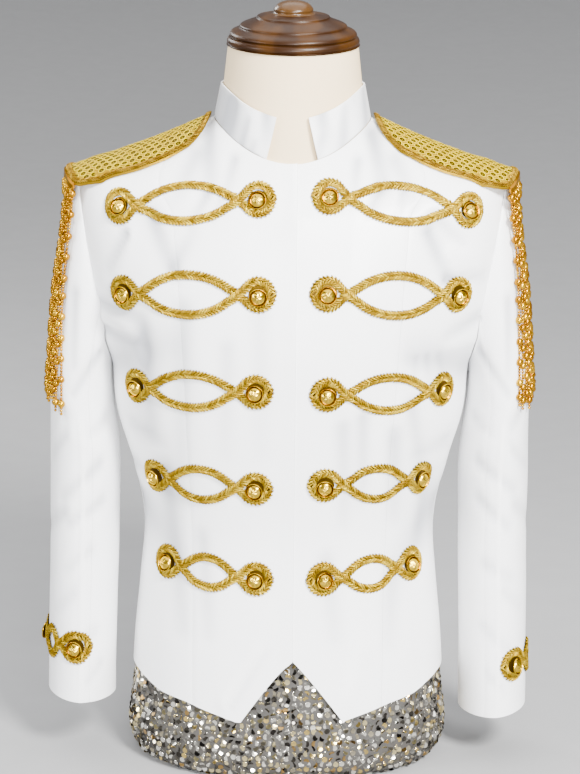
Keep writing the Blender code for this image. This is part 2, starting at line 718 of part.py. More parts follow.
def make_trim(name, side, board_tree, outline, collection):
    """Braid sewn round the top of the board's edge."""
    edges = []
    for width in (0.4, TRIM_WIDTH):
        within = drawn_in(outline, width)
        above = [Vector((side * x, BOARD_MIDDLE_Y + across, 900)) for x, across in within]
        edges.append([board_tree.ray_cast(place, Vector((0, 0, -1)))[0] for place in above])
    under = np.array(edges) + (0, 0, SEAM_GAP)
    return wall(name, under + (0, 0, TRIM_THICK), under, "gold_braid", collection, tube=True)


def outer_end(outline):
    """The stretch of the outline over the sleeve's head, from its front corner to its back one."""
    corner = BOARD_OUTLINE[-4][0] - 1
    run = [p for p in outline if p[0] > corner]
    return np.array(sorted(run, key=lambda p: p[1]))


def strand_line(board, skin, x, across, share):
    """A strand hangs from the board's edge and comes to rest down the sleeve.

    Share runs from 0 for the first strand in front to 1 for the last behind.
    """
    top = board.point(x, across, BOARD_THICK - STRIP_HEIGHT / 2)
    middle_x, middle_y = skin.middle(top[2])
    out, forward = board.side * (top[0] - middle_x), middle_y - top[1]
    start, reach = math.degrees(math.atan2(out, forward)), math.hypot(out, forward)
    spread = 1 - 2 * share
    rest = 90 - STRAND_SPREAD * spread * (0.6 + 0.4 * abs(spread))
    points = [top]
    for fall in STRAND_KNOTS:
        z = top[2] - STRAND_LENGTH * fall
        angle = start + (rest - start) * smooth(fall / 0.45)
        x, y = skin.middle(z)
        point = skin.hit(z, angle)[0]
        reach = max(reach, math.hypot(point.x - x, point.y - y) + STRAND_STAND_OFF)
        turn = math.radians(angle)
        points.append(np.array([x + board.side * math.sin(turn) * reach, y - math.cos(turn) * reach, z]))
    return points


def new_strand(points):
    """A four-sided tube as a mesh object."""
    curve = bpy.data.curves.new("strand", "CURVE")
    curve.dimensions = "3D"
    curve.bevel_depth = STRAND_RADIUS * MM
    curve.bevel_resolution = 0
    curve.use_fill_caps = True
    line = curve.splines.new("POLY")
    line.points.add(len(points) - 1)
    for knot, point in zip(line.points, points):
        knot.co = (*(point * MM), 1)
    obj = bpy.data.objects.new("strand", curve)
    bpy.context.scene.collection.objects.link(obj)
    bpy.context.view_layer.update()
    graph = bpy.context.evaluated_depsgraph_get()
    mesh = bpy.data.meshes.new_from_object(obj.evaluated_get(graph))
    bpy.data.objects.remove(obj)
    return mesh


def make_fringe(name, board, outline, skin, cutters, collection):
    """Strands with their roots fused into a narrow strip round the board's outer end."""
    run = outer_end(outline)
    tangent = unit(np.gradient(run, axis=0))
    outward = np.stack([tangent[:, 1], -tangent[:, 0]], axis=1)
    near, far = SEAM_GAP, SEAM_GAP + STRIP_THICK
    grids = []
    for out in (far, near):
        places = run + outward * out
        rows = [[board.point(*p, BOARD_THICK - drop) for p in places] for drop in (0, STRIP_HEIGHT)]
        grids.append(np.array(rows))
    strip = wall(name, grids[0], grids[1], "gold_beads", collection)

    middle = run + outward * (near + far) / 2
    steps = np.linalg.norm(np.diff(middle, axis=0), axis=1)
    lengths = np.concatenate([[0], np.cumsum(steps)])
    shape = bmesh.new()
    margin = STRAND_RADIUS + 1.0
    for distance in np.linspace(margin, lengths[-1] - margin, STRAND_COUNT):
        x, across = (float(np.interp(distance, lengths, middle[:, k])) for k in (0, 1))
        shape.from_mesh(new_strand(strand_line(board, skin, x, across, distance / lengths[-1])))
    bmesh.ops.remove_doubles(shape, verts=shape.verts, dist=1e-5)
    bmesh.ops.recalc_face_normals(shape, faces=shape.faces)
    mesh = bpy.data.meshes.new(name + "_strands")
    shape.to_mesh(mesh)
    shape.free()
    strands = add_object(name + "_strands", mesh, "gold_beads", cutters)
    strands.hide_render = True
    strands.display_type = "WIRE"
    fuse = strip.modifiers.new("fuse", "BOOLEAN")
    fuse.operation = "UNION"
    fuse.object = strands
    return strip


def form_angles():
    """(side, angle) all round the form."""
    half = [180 * k / FORM_HALF_COLUMNS for k in range(FORM_HALF_COLUMNS + 1)]
    return [(1, angle) for angle in half] + [(-1, angle) for angle in half[-2:0:-1]]


def form_ring(values):
    return np.array([ring_point(values, side, angle) for side, angle in form_angles()])


def ring_inside_body(row, gap):
    """A ring clear of the cloth, nearest where the shoulders bear, and cut off flat at the arms."""
    ring = []
    for side, angle in form_angles():
        facing = min(1.0, 3 * abs(math.cos(math.radians(angle))))
        clearance = gap + (FORM_FACE_GAP * facing if row >= TIP_ROW else 0)
        ring.append(body_point(side, angle, row)[1] - body_normal(side, angle, row) * clearance)
    ring = np.array(ring)
    ring[:, 0] = np.clip(ring[:, 0], -FORM_ARM_X, FORM_ARM_X)
    return ring


def neck_rings():
    """Straight from the neck's root to the round top that the cap sits on."""
    root = form_ring(np.array(FORM_NECK_ROOT[1:], float))
    top = []
    for side, angle in form_angles():
        turn = math.radians(angle)
        flat = Vector((side * math.sin(turn), -math.cos(turn), 0)) * FORM_NECK_RADIUS
        top.append(Vector(CAP_CENTRE) + Matrix.Rotation(CAP_TILT, 3, "X") @ (flat - Vector((0, 0, CAP_GAP))))
    top = np.array(top)
    return [root + (top - root) * share for share in FORM_NECK_SHARES]


def make_form(collection):
    rings = [form_ring(np.array(ring[1:], float)) for ring in FORM_FOOT]
    rings += [ring_inside_body(row_at_height(height), gap) for height, gap in FORM_ROWS]
    rings += [ring_inside_body(row, gap) for row, gap in FORM_UPPER]
    rings += neck_rings()
    points, columns = np.concatenate(rings), len(rings[0])
    faces = []
    for i in range(len(rings) - 1):
        for k in range(columns):
            a, b = i * columns + k, i * columns + (k + 1) % columns
            faces.append((a, b, b + columns, a + columns))
    faces.append(tuple(range(columns)))
    faces.append(tuple(range(len(points) - columns, len(points))))
    return add_object("form_torso", mesh_of("form_torso", points, faces), "form_cloth", collection)


def make_cap(collection):
    """The turned cap, tilted with the neck."""
    cap = turned("form_cap", CAP_PROFILE, CAP_HEIGHT, CAP_SIDES, "dark_wood", collection)
    cap.rotation_euler = (CAP_TILT, 0, 0)
    cap.location = Vector(CAP_CENTRE) * MM


def make_body_panels(side_name, outer, inner, collection):
    """Front, side front and back of one half, cut from its grid."""
    split = FRONT_COLUMNS + 1
    cuts = {
        "front": slice(0, FRONT_SEAM_COLUMN + 1),
        "side_front": slice(FRONT_SEAM_COLUMN, split),
        "back": slice(split, None),
    }
    for piece, columns in cuts.items():
        grids = [pulled_in(grid[:, columns], ("first", "last"), last_row=True) for grid in (outer, inner)]
        wall(f"{piece}_{side_name}", *grids, "white_cloth", collection)


def make_sleeve(side_name, side, outer, inner, collection):
    armhole = armhole_ring(outer)
    body_inward = unit(armhole_ring(inner) - armhole)
    sleeve_outer, sleeve_inner = sleeve_grid(side, side_name, armhole, body_inward)
    front, back = SLEEVE_SEAMS
    columns = len(armhole)
    top = seamed_tube_part(sleeve_outer, sleeve_inner, front, back)
    under = seamed_tube_part(sleeve_outer, sleeve_inner, back, columns + front)
    wall(f"top_sleeve_{side_name}", *top, "white_cloth", collection)
    wall(f"under_sleeve_{side_name}", *under, "white_cloth", collection)
    return sleeve_outer


def sleeve_middle(side, side_name):
    """A function giving the sleeve's middle at a height."""
    rings = [sleeve_section(side, side_name, k / 4, 20) for k in range(4 * (len(SLEEVE_SECTIONS) - 1) + 1)]
    middles = np.array([ring.mean(axis=0) for ring in rings])[::-1]

    def middle(height):
        return tuple(float(np.interp(height, middles[:, 2], middles[:, k])) for k in (0, 1))

    return middle


def make_frog_with_buttons(frog, skin, base_z, collection):
    make_frog(frog, skin, base_z, collection)
    for end, girth, height in (("in", frog.in_g, frog.in_z), ("out", frog.out_g, frog.out_z)):
        make_button(f"button_{frog.name}_{end}", skin, girth, height + base_z, collection)


def main():
    clear_scene()
    jacket = new_collection("costume_jacket")
    cutters = new_collection("joined_shapes")

    grids = {name: body_grid(side) for name, side in SIDES.items()}
    body_tree = skin_tree([outer for outer, inner in grids.values()])
    wall("collar", *collar_grid(), "white_cloth", jacket)
    outline = board_outline()

    for name, side in SIDES.items():
        outer, inner = grids[name]
        make_body_panels(name, outer, inner, jacket)
        sleeve_outer = make_sleeve(name, side, outer, inner, jacket)
        sleeve_tree = skin_tree([closed_tube(sleeve_outer)])

        board = Board(side, skin_tree([outer, closed_tube(sleeve_outer)]))
        board_tree = make_board(f"epaulette_{name}", board, outline, jacket)
        make_trim(f"epaulette_trim_{name}", side, board_tree, outline, jacket)
        sleeve_skin = Skin(sleeve_tree, side, sleeve_middle(side, name))
        make_fringe(f"fringe_{name}", board, outline, sleeve_skin, cutters, jacket)

        body_skin = Skin(body_tree, side, lambda height: (0.0, -3.0))
        for frog in FRONT_FROGS:
            if frog.side == side:
                make_frog_with_buttons(frog, body_skin, 0.0, jacket)
        for frog in CUFF_FROGS:
            if frog.side == side:
                make_frog_with_buttons(frog, sleeve_skin, CUFF_Z[name], jacket)

    make_form(jacket)
    make_cap(jacket)


main()
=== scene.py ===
# Looks for the frogged jacket on its dress form. Sizes are in millimetres until a mesh is made.
# +Z is up, the front faces -Y, and side is +1 for the wearer's left (+X).
import math

import bmesh
import bpy
import numpy as np
from mathutils import Euler, Matrix, Vector
from mathutils.bvhtree import BVHTree


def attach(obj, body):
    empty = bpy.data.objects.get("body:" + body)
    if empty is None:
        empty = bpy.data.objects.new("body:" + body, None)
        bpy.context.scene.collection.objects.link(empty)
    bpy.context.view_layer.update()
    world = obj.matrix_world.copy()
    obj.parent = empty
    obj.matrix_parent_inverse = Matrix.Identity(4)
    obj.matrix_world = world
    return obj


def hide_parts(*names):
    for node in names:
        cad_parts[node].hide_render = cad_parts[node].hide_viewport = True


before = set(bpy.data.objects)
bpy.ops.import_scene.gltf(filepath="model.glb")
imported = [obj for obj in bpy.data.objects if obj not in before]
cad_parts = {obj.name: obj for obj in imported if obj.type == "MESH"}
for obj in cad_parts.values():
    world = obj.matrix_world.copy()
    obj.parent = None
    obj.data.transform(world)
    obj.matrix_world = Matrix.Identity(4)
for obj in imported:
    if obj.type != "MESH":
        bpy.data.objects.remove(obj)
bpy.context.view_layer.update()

mm = 0.001
sides = {"left": 1, "right": -1}
finer = 6            # fine spans for each span of the panels' own grid

cloth = {"thickness": 1.6, "seamGap": 0.03, "layGap": 0.8, "rounding": 0.35, "seamRounding": 0.10}


def unit(v):
    return v / np.maximum(np.linalg.norm(v, axis=-1, keepdims=True), 1e-12)


def ease(t):
    t = np.clip(t, 0, 1)
    return t * t * (3 - 2 * t)


def splineAt(table, place):
    # Catmull-Rom through the rows of a table
    table, place = np.asarray(table, float), np.asarray(place, float)
    last = len(table) - 1
    place = np.clip(place, 0, last)
    low = np.minimum(place.astype(int), last - 1)
    t = (place - low)[..., None]
    a, b, c, d = (table[np.clip(low + k, 0, last)] for k in (-1, 0, 1, 2))
    return 0.5 * (2 * b + (c - a) * t + (2 * a - 5 * b + 4 * c - d) * t ** 2 + (3 * b - a - 3 * c + d) * t ** 3)


def smoothed(table, steps=5):
    # a table's rows with finer ones between them
    last = len(table) - 1
    return splineAt(table, np.linspace(0, last, last * steps + 1))


def signedPower(value, power):
    return np.sign(value) * np.abs(value) ** power


def ringPoint(ring, side, angle):
    # ring: sideX, sideY, sideZ, frontY, frontZ, backY, backZ, squareness; angle 0 in front, 180 behind
    across, along = np.sin(np.radians(angle)), np.cos(np.radians(angle))
    front = along > 0
    endY = np.where(front, ring[..., 3], ring[..., 5])
    endZ = np.where(front, ring[..., 4], ring[..., 6])
    power = 2 / ring[..., 7]
    x = side * ring[..., 0] * signedPower(across, power)
    y = ring[..., 1] + (endY - ring[..., 1]) * np.abs(along) ** power
    z = ring[..., 2] + (endZ - ring[..., 2]) * along ** 2
    return np.stack([x, y, z], axis=-1)


class Wire:
    # an output socket that takes part in sums
    def __init__(self, tree, socket):
        self.tree, self.socket = tree, socket

    def maths(self, operation, *others, clamp=False):
        node = self.tree.nodes.new("ShaderNodeMath")
        node.operation, node.use_clamp = operation, clamp
        for slot, value in zip(node.inputs, (self, *others)):
            feed(self.tree, slot, value)
        return Wire(self.tree, node.outputs[0])

    def __add__(self, other):
        return self.maths("ADD", other)

    def __sub__(self, other):
        return self.maths("SUBTRACT", other)

    def __mul__(self, other):
        return self.maths("MULTIPLY", other)

    def __pow__(self, other):
        return self.maths("POWER", other)

    def __gt__(self, other):
        return self.maths("GREATER_THAN", other)

    def sine(self):
        return self.maths("SINE")

    def within(self):
        return self.maths("ADD", 0.0, clamp=True)


def feed(tree, slot, value):
    if isinstance(value, Wire):
        tree.links.new(value.socket, slot)
    elif value is not None:
        slot.default_value = value


class Sheet:
    # a node tree being drawn
    def __init__(self, tree):
        self.tree = tree

    def add(self, kind, settings=None, out=0, **inputs):
        # an input goes by its name, or by its place as i0, i1 and so on
        node = self.tree.nodes.new(kind)
        for key, value in (settings or {}).items():
            setattr(node, key, value)
        for key, value in inputs.items():
            place = int(key[1:]) if key[1:].isdigit() else key.replace("_", " ")
            feed(self.tree, node.inputs[place], value)
        return Wire(self.tree, node.outputs[out])

    def coords(self, kind="Object"):
        node = self.tree.nodes.new("ShaderNodeTexCoord")
        return Wire(self.tree, node.outputs[kind])

    def attribute(self, name):
        return self.add("ShaderNodeAttribute", {"attribute_name": name}, out=2)

    def noise(self, where, size, detail=2.0, rough=0.5):
        # size is the width of a blotch in metres
        return self.add("ShaderNodeTexNoise", Vector=where, Scale=1 / size, Detail=detail, Roughness=rough)

    def mix(self, share, first, second):
        colour = {"data_type": "RGBA"}
        return self.add("ShaderNodeMix", colour, out=2, i0=share, i6=shade(first), i7=shade(second))

    def ramp(self, value, stops, steps=False):
        made = self.add("ShaderNodeValToRGB", Fac=value)
        colours = made.socket.node.color_ramp
        for end, (place, colour) in zip(colours.elements, (stops[0], stops[-1])):
            end.position, end.color = place, (*colour, 1)
        for place, colour in stops[1:-1]:
            colours.elements.new(place).color = (*colour, 1)
        if steps:
            colours.interpolation = "CONSTANT"
        return made

    def bump(self, height, depth, strength=1.0, normal=None):
        # depth is in metres
        return self.add("ShaderNodeBump", Height=height, Distance=depth, Strength=strength, Normal=normal)

    def split(self, vector):
        node = self.tree.nodes.new("ShaderNodeSeparateXYZ")
        self.tree.links.new(vector.socket, node.inputs[0])
        return [Wire(self.tree, out) for out in node.outputs]


def shade(colour):
    return colour if isinstance(colour, Wire) else (*colour, 1)


def finish(name, draw, **numbers):
    # a Principled material: numbers are its constant sockets, draw returns its varying ones
    made = bpy.data.materials.new(name)
    made.use_nodes = True
    shader = made.node_tree.nodes["Principled BSDF"]
    for key, value in numbers.items():
        shader.inputs[key.replace("_", " ")].default_value = value
    for key, value in draw(Sheet(made.node_tree)).items():
        feed(made.node_tree, shader.inputs[key.replace("_", " ")], value)
    return made


def twill(s):
    # satin-faced twill: cool white, with painted shade in its creases and a painted highlight on their ridges
    u, v, _ = s.split(s.coords("UV"))
    where, fold = s.coords(), s.attribute("fold")
    rib = ((u + v * 0.8) * (2 * math.pi / 0.0011)).sine()
    slub, soft = s.noise(where, 0.004, 3), s.noise(where, 0.045, 3)
    tint = s.mix(soft, (0.90, 0.905, 0.92), (0.955, 0.957, 0.962))
    shadedCreases = s.mix((fold * 0.34).within(), tint, (0.43, 0.44, 0.47))
    lit = s.mix((fold * -0.5).within(), shadedCreases, (0.985, 0.985, 0.985))
    return {
        "Base_Color": s.mix((rib * 0.5 + 0.5) * 0.06, lit, (0.78, 0.79, 0.82)),
        "Roughness": slub * 0.12 + 0.26,
        "Normal": s.bump(rib * 0.5 + slub, 0.00007, 0.6),
    }


def trimPlait(s):
    return plait(s, ((0.12, 0.055, 0.001), (0.30, 0.16, 0.004), (0.55, 0.34, 0.02)))


def plait(s, golds=((0.26, 0.145, 0.001), (0.46, 0.29, 0.006), (0.78, 0.56, 0.04))):
    tone, thread = s.attribute("tone"), s.attribute("thread")
    fibre = (thread * 38).sine()
    speck = s.noise(s.coords(), 0.0012, 2)
    gold = s.ramp(tone, list(zip((0, 0.45, 1), golds)))
    worn = s.mix((speck * 1.6 - 0.55 + fibre * 0.12).within(), gold, (0.15, 0.08, 0.004))
    return {
        # painted shade: dark on the underside of each stitch, on the core between them and on the disc under each
        # button
        "Base_Color": s.mix((thread * 1.9 - 0.62).within(), (0.030, 0.014, 0.001), worn),
        "Roughness": speck * 0.2 + 0.26,
        "Normal": s.bump(fibre * 0.5 + speck, 0.00025, 0.8),
    }


def sequinGold(s):
    ring, tone = s.attribute("ring"), s.attribute("tone")
    yellow = s.mix(tone, (0.44, 0.30, 0.0), (0.58, 0.42, 0.0))
    return {"Base_Color": s.mix(ring * 0.98, yellow, (0.012, 0.007, 0.0)), "Roughness": tone * 0.12 + 0.54}


def boardCloth(s):
    u, v, _ = s.split(s.coords())
    net = ((u * 4200).sine() * (v * 4200).sine())
    return {
        "Base_Color": s.mix(net * 0.5 + 0.5, (0.30, 0.19, 0.0), (0.18, 0.10, 0.0)),
        "Roughness": net * 0.1 + 0.75,
        "Normal": s.bump(net, 0.0001),
    }


def beadGold(s):
    tone, where = s.attribute("tone"), s.coords()
    worn = s.noise(where, 0.01, 2)
    gold = s.ramp(tone, [(0, (0.25, 0.10, 0.0)), (0.55, (0.38, 0.185, 0.001)), (1, (0.58, 0.34, 0.005))])
    return {"Base_Color": s.mix(worn * 0.3, gold, (0.45, 0.18, 0.01)), "Roughness": worn * 0.15 + 0.14}


def domeBrass(s):
    relief, where = s.attribute("relief"), s.coords()
    worn = s.noise(where, 0.002, 3)
    return {
        "Base_Color": s.ramp(relief, [(0, (0.10, 0.05, 0.002)), (0.45, (0.50, 0.31, 0.014)), (1, (0.80, 0.56, 0.045))]),
        "Roughness": worn * 0.16 + 0.16,
        "Normal": s.bump(worn, 0.00008, 0.5),
    }


def girthAndHeight(s, radius):
    x, y, z = s.split(s.coords())
    return x.maths("ARCTAN2", y) * radius, z


def formNeckCloth(s):
    u, v = girthAndHeight(s, 0.06)
    where = s.coords()
    weave = (u * (2 * math.pi / 0.0009)).sine() * (v * (2 * math.pi / 0.0009)).sine()
    soft = s.noise(where, 0.06, 3)
    return {
        "Base_Color": s.mix(soft, (0.74, 0.57, 0.34), (0.80, 0.64, 0.41)),
        "Roughness": weave * 0.06 + 0.72,
        "Normal": s.bump(weave, 0.00006, 0.6),
    }


def coverNet(s):
    u, v = girthAndHeight(s, 0.14)
    knit = (u * (2 * math.pi / 0.0016)).sine() * (v * (2 * math.pi / 0.0016)).sine()
    patch = s.noise(s.coords(), 0.03, 2)
    return {
        "Base_Color": s.mix(patch, (0.024, 0.022, 0.02), (0.055, 0.05, 0.043)),
        "Roughness": knit * 0.1 + 0.6,
        "Normal": s.bump(knit, 0.00015),
    }


def coverSequin(s):
    tone, hue = s.attribute("tone"), s.attribute("hue")
    colour = s.ramp(hue, [
        (0.0, (0.88, 0.85, 0.76)), (0.34, (0.76, 0.64, 0.33)), (0.52, (0.42, 0.37, 0.26)),
        (0.66, (0.025, 0.022, 0.02)), (0.84, (0.36, 0.22, 0.07)), (0.91, (0.66, 0.48, 0.15)),
    ], steps=True)
    return {"Base_Color": s.mix(tone * 0.35, colour, (0.13, 0.12, 0.095)), "Roughness": tone * 0.10 + 0.09}


def turnedWood(s):
    where = s.add("ShaderNodeMapping", Vector=s.coords(), Location=(0, 0, 0), Rotation=(0, 0, 0.3), Scale=(1, 1, 0.25))
    drift = s.noise(where, 0.03, 3)
    x, y, _ = s.split(where)
    ring = ((x * 160 + drift * 9 + y * 30).sine() * 0.5 + 0.5) ** 2.0
    pore = s.noise(where, 0.0016, 4, 0.7)
    base = s.mix(ring * 0.7, (0.016, 0.005, 0.0003), (0.042, 0.015, 0.001))
    return {
        "Base_Color": s.mix((pore > 0.62) * 0.5, base, (0.012, 0.004, 0.001)),
        "Roughness": pore * 0.1 + 0.34,
        "Normal": s.bump(pore, 0.00005, 0.5),
    }


def knobWood(s):
    where = s.coords()
    grain = s.noise(s.add("ShaderNodeMapping", Vector=where, Scale=(1, 1, 0.2)), 0.004, 3)
    return {"Base_Color": s.mix(grain, (0.036, 0.014, 0.002), (0.062, 0.027, 0.005)), "Roughness": grain * 0.1 + 0.25}


looks = {
    "whiteTwill": (twill, dict(Sheen_Weight=0.1, Sheen_Roughness=0.4, Specular_IOR_Level=0.6)),
    "goldPlait": (plait, dict(Metallic=0.7, Specular_IOR_Level=0.25, Specular_Tint=(1, 0.8, 0.35, 1))),
    "trimPlait": (trimPlait, dict(Metallic=0.5, Specular_IOR_Level=0.2, Specular_Tint=(1, 0.75, 0.3, 1))),
    "sequinGold": (sequinGold, dict(IOR=1.3, Specular_IOR_Level=0.12, Specular_Tint=(1, 0.72, 0.05, 1))),
    "boardCloth": (boardCloth, dict(IOR=1.25, Specular_IOR_Level=0.1, Specular_Tint=(1, 0.72, 0.1, 1))),
    "beadGold": (beadGold, dict(Metallic=0.85, Specular_Tint=(1, 0.8, 0.35, 1))),
    "domeBrass": (domeBrass, dict(Metallic=1.0, Specular_Tint=(1, 0.8, 0.35, 1))),
    "formNeckCloth": (formNeckCloth, {}),
    "coverNet": (coverNet, {}),
    "coverSequin": (coverSequin, dict(Metallic=1.0)),
    "turnedWood": (turnedWood, dict(Specular_IOR_Level=0.15, Coat_Weight=0.04, Coat_Roughness=0.2)),
    "knobWood": (knobWood, dict(Specular_IOR_Level=0.3, Coat_Weight=0.08, Coat_Roughness=0.15)),
}
finishes = {name: finish(name, draw, **numbers) for name, (draw, numbers) in looks.items()}
print("materials:", len(finishes))


def linked(name, data):
    obj = bpy.data.objects.new(name, data)
    bpy.context.scene.collection.objects.link(obj)
    return obj


def meshOf(name, points, faces, material, attributes=None, uv=None, outward=True, crisp=38):
    mesh = bpy.data.meshes.new(name)
    mesh.from_pydata((np.asarray(points, float) * mm).tolist(), [], faces)
    if outward:
        shape = bmesh.new()
        shape.from_mesh(mesh)
        bmesh.ops.recalc_face_normals(shape, faces=shape.faces)
        shape.to_mesh(mesh)
        shape.free()
    mesh.shade_smooth()
    mesh.set_sharp_from_angle(angle=math.radians(crisp))
    for key, values in (attributes or {}).items():
        kind = "FLOAT_VECTOR" if np.ndim(values) == 2 else "FLOAT"
        layer = mesh.attributes.new(key, kind, "POINT")
        field = "vector" if kind == "FLOAT_VECTOR" else "value"
        layer.data.foreach_set(field, np.asarray(values, np.float32).ravel())
    if uv is not None:
        corner = np.zeros(len(mesh.loops), np.int32)
        mesh.loops.foreach_get("vertex_index", corner)
        mesh.uv_layers.new(name="UVMap").data.foreach_set("uv", np.asarray(uv, np.float32)[corner].ravel())
    if material:
        mesh.materials.append(finishes[material])
    return linked(name, mesh)


def ready(obj, slot, *nodes):
    # a finished piece: it rides on the only body and stands for these CAD nodes
    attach(obj, "root")
    if nodes:
        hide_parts(*nodes)
    return obj


def gridUv(outer):
    # distance round and up the cloth, in metres
    across = np.linalg.norm(np.diff(outer, axis=1), axis=-1)
    u = np.concatenate([np.zeros((len(outer), 1)), np.cumsum(across, axis=1)], axis=1)
    upward = np.linalg.norm(np.diff(outer, axis=0), axis=-1)
    v = np.concatenate([np.zeros((1, outer.shape[1])), np.cumsum(upward, axis=0)])
    return np.stack([u, v], axis=-1).reshape(-1, 2) * mm


def gridFaces(rows, columns, wrap=False, start=0):
    faces = []
    for i in range(rows - 1):
        for j in range(columns if wrap else columns - 1):
            a, b = (start + i * columns + k % columns for k in (j, j + 1))
            faces.append((a, b, b + columns, a + columns))
    return faces


def lathe(name, foot, rings, top, around, material, key=None, crisp=60, place=None):
    # a closed turned shape: each ring is (radius, height, value), for all of it or for each step round;
    # foot and top are the (height, value) of its poles, and key names the value's attribute
    rings = np.array([np.broadcast_to(ring, (around, 3)) for ring in rings], float)
    radius, height, value = (rings[..., k] for k in range(3))
    turn = 2 * np.pi * np.arange(around) / around
    turned = np.stack([radius * np.cos(turn), radius * np.sin(turn), height], axis=-1).reshape(-1, 3)
    points = np.concatenate([[(0, 0, foot[0])], turned, [(0, 0, top[0])]])
    last, faces = len(points) - 1, gridFaces(len(rings), around, wrap=True, start=1)
    for k in range(around):
        after = (k + 1) % around
        faces += [(0, 1 + after, 1 + k), (last, last - around + k, last - around + after)]
    values = {key: np.concatenate([[foot[1]], value.ravel(), [top[1]]])} if key else None
    return meshOf(name, place(points) if place else points, faces, material, values, crisp=crisp)


def tube(name, corners, material, closed=False, **values):
    # a prism whose corners are lines of points, with its ends filled unless it runs round
    sideCount, count, faces = len(corners), len(corners[0]), []
    for k in range(count if closed else count - 1):
        after = (k + 1) % count
        for c in range(sideCount):
            d = (c + 1) % sideCount
            faces.append((c * count + k, c * count + after, d * count + after, d * count + k))
    if not closed:
        faces += [tuple(c * count + end for c in range(sideCount)) for end in (0, count - 1)]
    level = np.zeros(sideCount * count)
    extra = {key: level + value for key, value in values.items()}
    return meshOf(name, np.concatenate(corners), faces, material, extra)


def clothShell(name, outer, inner, fold):
    # a cloth wall with rounded edges, from two grids of points; the last argument is its depth in the creases on the
    # body and sleeves, and sets their painted shade, or a painted highlight where it is below zero
    outer, inner = outer.copy(), inner.copy()
    rows, columns = outer.shape[:2]
    count, uv, deep = rows * columns, gridUv(outer), fold.ravel()
    edge = (
        [(0, j) for j in range(columns)] + [(i, columns - 1) for i in range(1, rows)]
        + [(rows - 1, j) for j in range(columns - 2, -1, -1)] + [(i, 0) for i in range(rows - 2, 0, -1)]
    )
    rim = [i * columns + j for i, j in edge]
    middle = ((outer + inner) / 2).reshape(-1, 3)[rim]
    for grid in (outer, inner):
        drawn = {}
        for i, j in edge:
            beside = grid[min(max(i, 1), rows - 2), min(max(j, 1), columns - 2)]
            rounding = cloth["rounding"] if i in (0, rows - 1) else cloth["seamRounding"]
            drawn[i, j] = grid[i, j] + unit(beside - grid[i, j]) * rounding
        for spot, point in drawn.items():
            grid[spot] = point
    points = np.concatenate([outer.reshape(-1, 3), inner.reshape(-1, 3), middle])
    faces = gridFaces(rows, columns)
    faces += [(a, d, c, b) for a, b, c, d in gridFaces(rows, columns, start=count)]
    for k, here in enumerate(rim):
        after = (k + 1) % len(rim)
        for layer in (0, count):
            faces.append((layer + here, layer + rim[after], 2 * count + after, 2 * count + k))
    # this value paints shade into the creases' colour
    extra = {"fold": np.concatenate([deep, deep, deep[rim]])}
    return meshOf(name, points, faces, "whiteTwill", extra, uv=np.concatenate([uv, uv, uv[rim]]), crisp=60)


def treeOf(grids):
    points, faces = [], []
    for grid in grids:
        faces += gridFaces(*grid.shape[:2], start=len(points))
        points.extend(grid.reshape(-1, 3).tolist())
    return BVHTree.FromPolygons(points, faces)


def towards(normal, out):
    return normal if normal.dot(out) > 0 else -normal


def lengthsAlong(points):
    return np.concatenate([[0], np.cumsum(np.linalg.norm(np.diff(points, axis=0), axis=1))])


def stampTree():
    # one Geometry Nodes tree sets a small stamp on every marked point
    group = bpy.data.node_groups.new("setStamps", "GeometryNodeTree")
    wanted = [
        ("Geometry", "Geometry"), ("Stamp", "Object"), ("Tilt", "Float"), ("Seed", "Int"), ("Finish", "Material"),
    ]
    for name, kind in wanted:
        group.interface.new_socket(name, in_out="INPUT", socket_type="NodeSocket" + kind)
    group.interface.new_socket("Geometry", in_out="OUTPUT", socket_type="NodeSocketGeometry")
    s = Sheet(group)
    entry, leave = group.nodes.new("NodeGroupInput"), group.nodes.new("NodeGroupOutput")
    given = {out.name: Wire(group, out) for out in entry.outputs if out.name}
    stored, vector = "GeometryNodeInputNamedAttribute", {"data_type": "FLOAT_VECTOR"}
    up, along, size = (s.add(stored, vector, Name=name) for name in ("up", "along", "size"))
    facing = s.add("FunctionNodeAxesToRotation", {"primary_axis": "Z", "secondary_axis": "X"}, i0=up, i1=along)
    lean = s.add("ShaderNodeCombineXYZ", X=given["Tilt"], Y=given["Tilt"], Z=given["Tilt"])
    back = s.add("ShaderNodeVectorMath", {"operation": "SCALE"}, i0=lean, Scale=-1.0)
    jitter = s.add("FunctionNodeRandomValue", vector, i0=back, i1=lean, Seed=given["Seed"])
    turned = s.add("FunctionNodeRotateRotation", {"rotation_space": "LOCAL"}, i0=facing,
                   i1=s.add("FunctionNodeEulerToRotation", Euler=jitter))
    stamp = s.add("GeometryNodeObjectInfo", out=4, Object=given["Stamp"])
    placed = s.add("GeometryNodeInstanceOnPoints", Points=given["Geometry"], Instance=stamp,
                   Rotation=turned, Scale=size)
    for name, shift in (("tone", 11), ("hue", 23)):
        chance = s.add("FunctionNodeRandomValue", {"data_type": "FLOAT"}, out=1, i2=0.0, i3=1.0,
                       Seed=given["Seed"] + shift)
        settings = {"data_type": "FLOAT", "domain": "INSTANCE"}
        placed = s.add("GeometryNodeStoreNamedAttribute", settings, Geometry=placed, Name=name, Value=chance)
    real = s.add("GeometryNodeRealizeInstances", Geometry=placed)
    dressed = s.add("GeometryNodeSetMaterial", Geometry=real, Material=given["Finish"])
    group.links.new(dressed.socket, leave.inputs[0])
    return group


stamps = stampTree()


